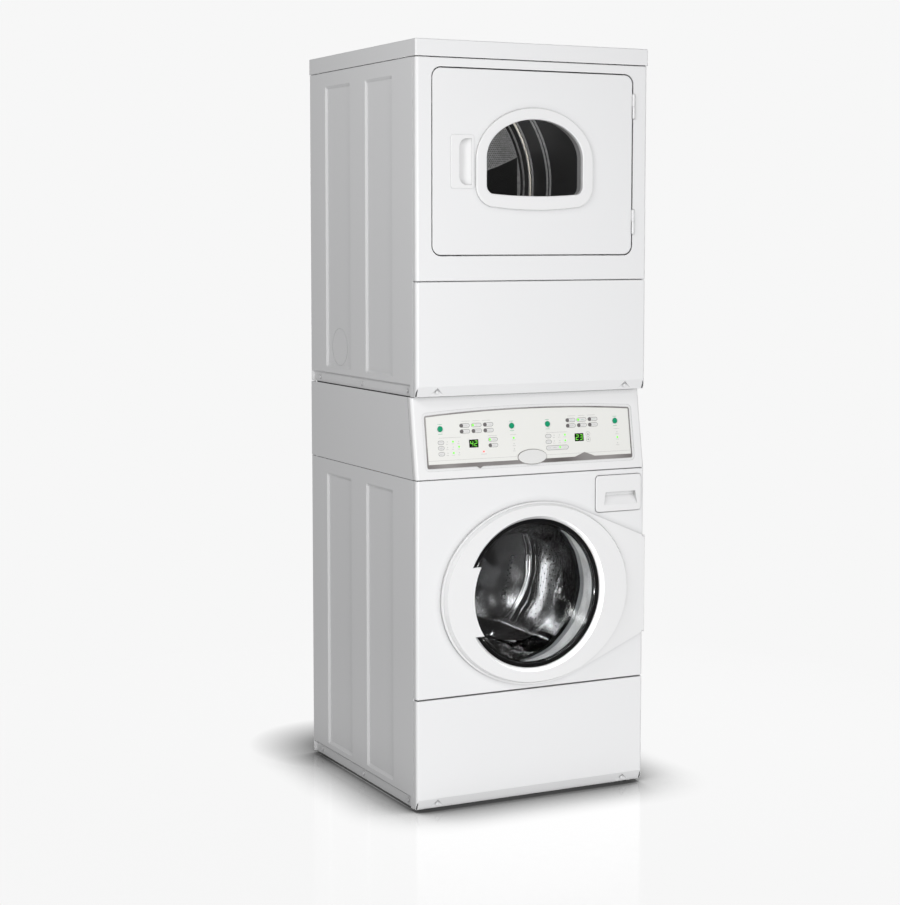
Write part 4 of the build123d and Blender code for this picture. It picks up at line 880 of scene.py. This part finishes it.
def floor_material():
    """Pale glossy floor with a painted contact shadow along the machine's foot, that melts into the
    backdrop further out.
    """
    n = Nodes("studio_floor")
    n.set(Base_Color=(0.0, 0.0, 0.0, 1), Roughness=0.1, Specular_IOR_Level=0.07, Emission_Strength=1.0)
    # painted contact shadow: the floor's glow is darker where the machine stands close
    near = n.add("ShaderNodeAmbientOcclusion")
    near.inputs["Distance"].default_value = 0.2
    glow_with_contact_shadow = n.ramp(near.outputs["AO"], 0.46, 0.98, (0.05, 0.05, 0.05), (0.91, 0.91, 0.91))
    n.link(glow_with_contact_shadow, n.shader.inputs["Emission Color"])
    # painted shadow of the machine, which falls behind it and to its left
    away = n.add("ShaderNodeVectorMath", operation="DISTANCE")
    away.inputs[1].default_value = (-0.2, 0.4, 0.0)
    n.link(n.place, away.inputs[0])
    painted_shadow_back = n.span(away.outputs["Value"], 0.22, 1.0, 0.08, 0.3)
    seen = n.add("ShaderNodeLightPath").outputs["Is Camera Ray"]
    power = n.add("ShaderNodeMath", operation="MULTIPLY")
    n.link(n.span(seen, 0.42, 1.0, 0.0, 1.0), power.inputs[0])
    n.link(painted_shadow_back, power.inputs[1])
    n.link(power.outputs["Value"], n.shader.inputs["Emission Strength"])
    length = n.add("ShaderNodeVectorMath", operation="LENGTH")
    n.link(n.place, length.inputs[0])
    n.link(n.span(length.outputs["Value"], 1.0, 0.0, 0.7, 1.9), n.shader.inputs["Alpha"])
    return n.material


def build_world():
    """The backdrop as seen, and a wrap of light that is strongest on the machine's left."""
    world = bpy.data.worlds.new("studio")
    bpy.context.scene.world = world
    world.use_nodes = True
    tree = world.node_tree
    tree.nodes.clear()
    place = tree.nodes.new("ShaderNodeTexCoord")
    split = tree.nodes.new("ShaderNodeSeparateXYZ")
    tree.links.new(place.outputs["Generated"], split.inputs["Vector"])
    shift = tree.nodes.new("ShaderNodeMapRange")
    shift.inputs["From Min"].default_value = -1
    tree.links.new(split.outputs["X"], shift.inputs["Value"])
    ramp = tree.nodes.new("ShaderNodeValToRGB")
    ramp.color_ramp.elements.new(0.5)
    for stop, (at, tone) in zip(ramp.color_ramp.elements, ((0.0, 0.42), (0.5, 0.06), (1.0, 0.35))):
        stop.position = at
        stop.color = (tone, tone, tone, 1)
    tree.links.new(shift.outputs["Result"], ramp.inputs["Fac"])
    wrap = tree.nodes.new("ShaderNodeBackground")
    tree.links.new(ramp.outputs["Color"], wrap.inputs["Color"])
    seen = tree.nodes.new("ShaderNodeBackground")
    seen.inputs["Color"].default_value = (0.93, 0.93, 0.93, 1)
    path = tree.nodes.new("ShaderNodeLightPath")
    mix = tree.nodes.new("ShaderNodeMixShader")
    out = tree.nodes.new("ShaderNodeOutputWorld")
    tree.links.new(path.outputs["Is Camera Ray"], mix.inputs["Fac"])
    tree.links.new(wrap.outputs["Background"], mix.inputs[1])
    tree.links.new(seen.outputs["Background"], mix.inputs[2])
    tree.links.new(mix.outputs["Shader"], out.inputs["Surface"])


def area_light(name, place, target, size, power, height=None):
    """A soft light facing target: size and height in metres, power in watts."""
    data = bpy.data.lights.new(name, "AREA")
    data.energy = power
    data.size = size
    if height:
        data.shape = "RECTANGLE"
        data.size_y = height
    light = bpy.data.objects.new(name, data)
    light.location = place
    aim = Vector(target) - Vector(place)
    light.rotation_euler = aim.to_track_quat("-Z", "Y").to_euler()
    bpy.context.scene.collection.objects.link(light)
    return light


def build_lights():
    area_light("front_key", (-0.5, -5.2, 0.9), (0, 0, 0.9), 2.2, 177, 2.2)
    area_light("left_front", (-2.8, -1.5, 2.9), (-0.34, -0.1, 1.6), 1.0, 31, 1.0)
    for name, place, power in (("right_fill", (3.5, 1.0, 2.0), 40), ("rear_fill", (0.4, 4.5, 2.0), 60)):
        area_light(name, place, (0, 0, 1.0), 1.6, power, 1.6).visible_glossy = False
    # what gets in round the doors, so that the drums can be read through the glass
    for name, place, target, power in (
            ("dryer_inside", (0.02, -0.12, DRUM_Z + 0.16), (0.24, 0.28, DRUM_Z + 0.12), 5.0),
            ("washer_inside", (-0.1, -0.28, TUB_Z + 0.08), (0.2, -0.2, TUB_Z - 0.1), 3.0)):
        area_light(name, place, target, 0.1, power, 0.1).visible_glossy = False


def build_camera():
    data = bpy.data.cameras.new("camera")
    data.sensor_width = 36.0
    data.lens = CAMERA_LENS
    data.shift_y = CAMERA_SHIFT
    data.clip_end = 50
    camera = bpy.data.objects.new("camera", data)
    yaw, pitch = math.radians(CAMERA_YAW), math.radians(CAMERA_PITCH)
    camera.location = CAMERA_AT
    camera.rotation_euler = Euler((math.pi / 2 - pitch, 0, -yaw))
    bpy.context.scene.collection.objects.link(camera)
    bpy.context.scene.camera = camera


dress_nodes()
build_console()
build_basket()
build_gasket()
build_springs()
build_dryer_inside()
build_bumpers()
build_badge()
build_floor()
build_world()
build_lights()
build_camera()
bpy.context.scene.view_settings.view_transform = "Standard"
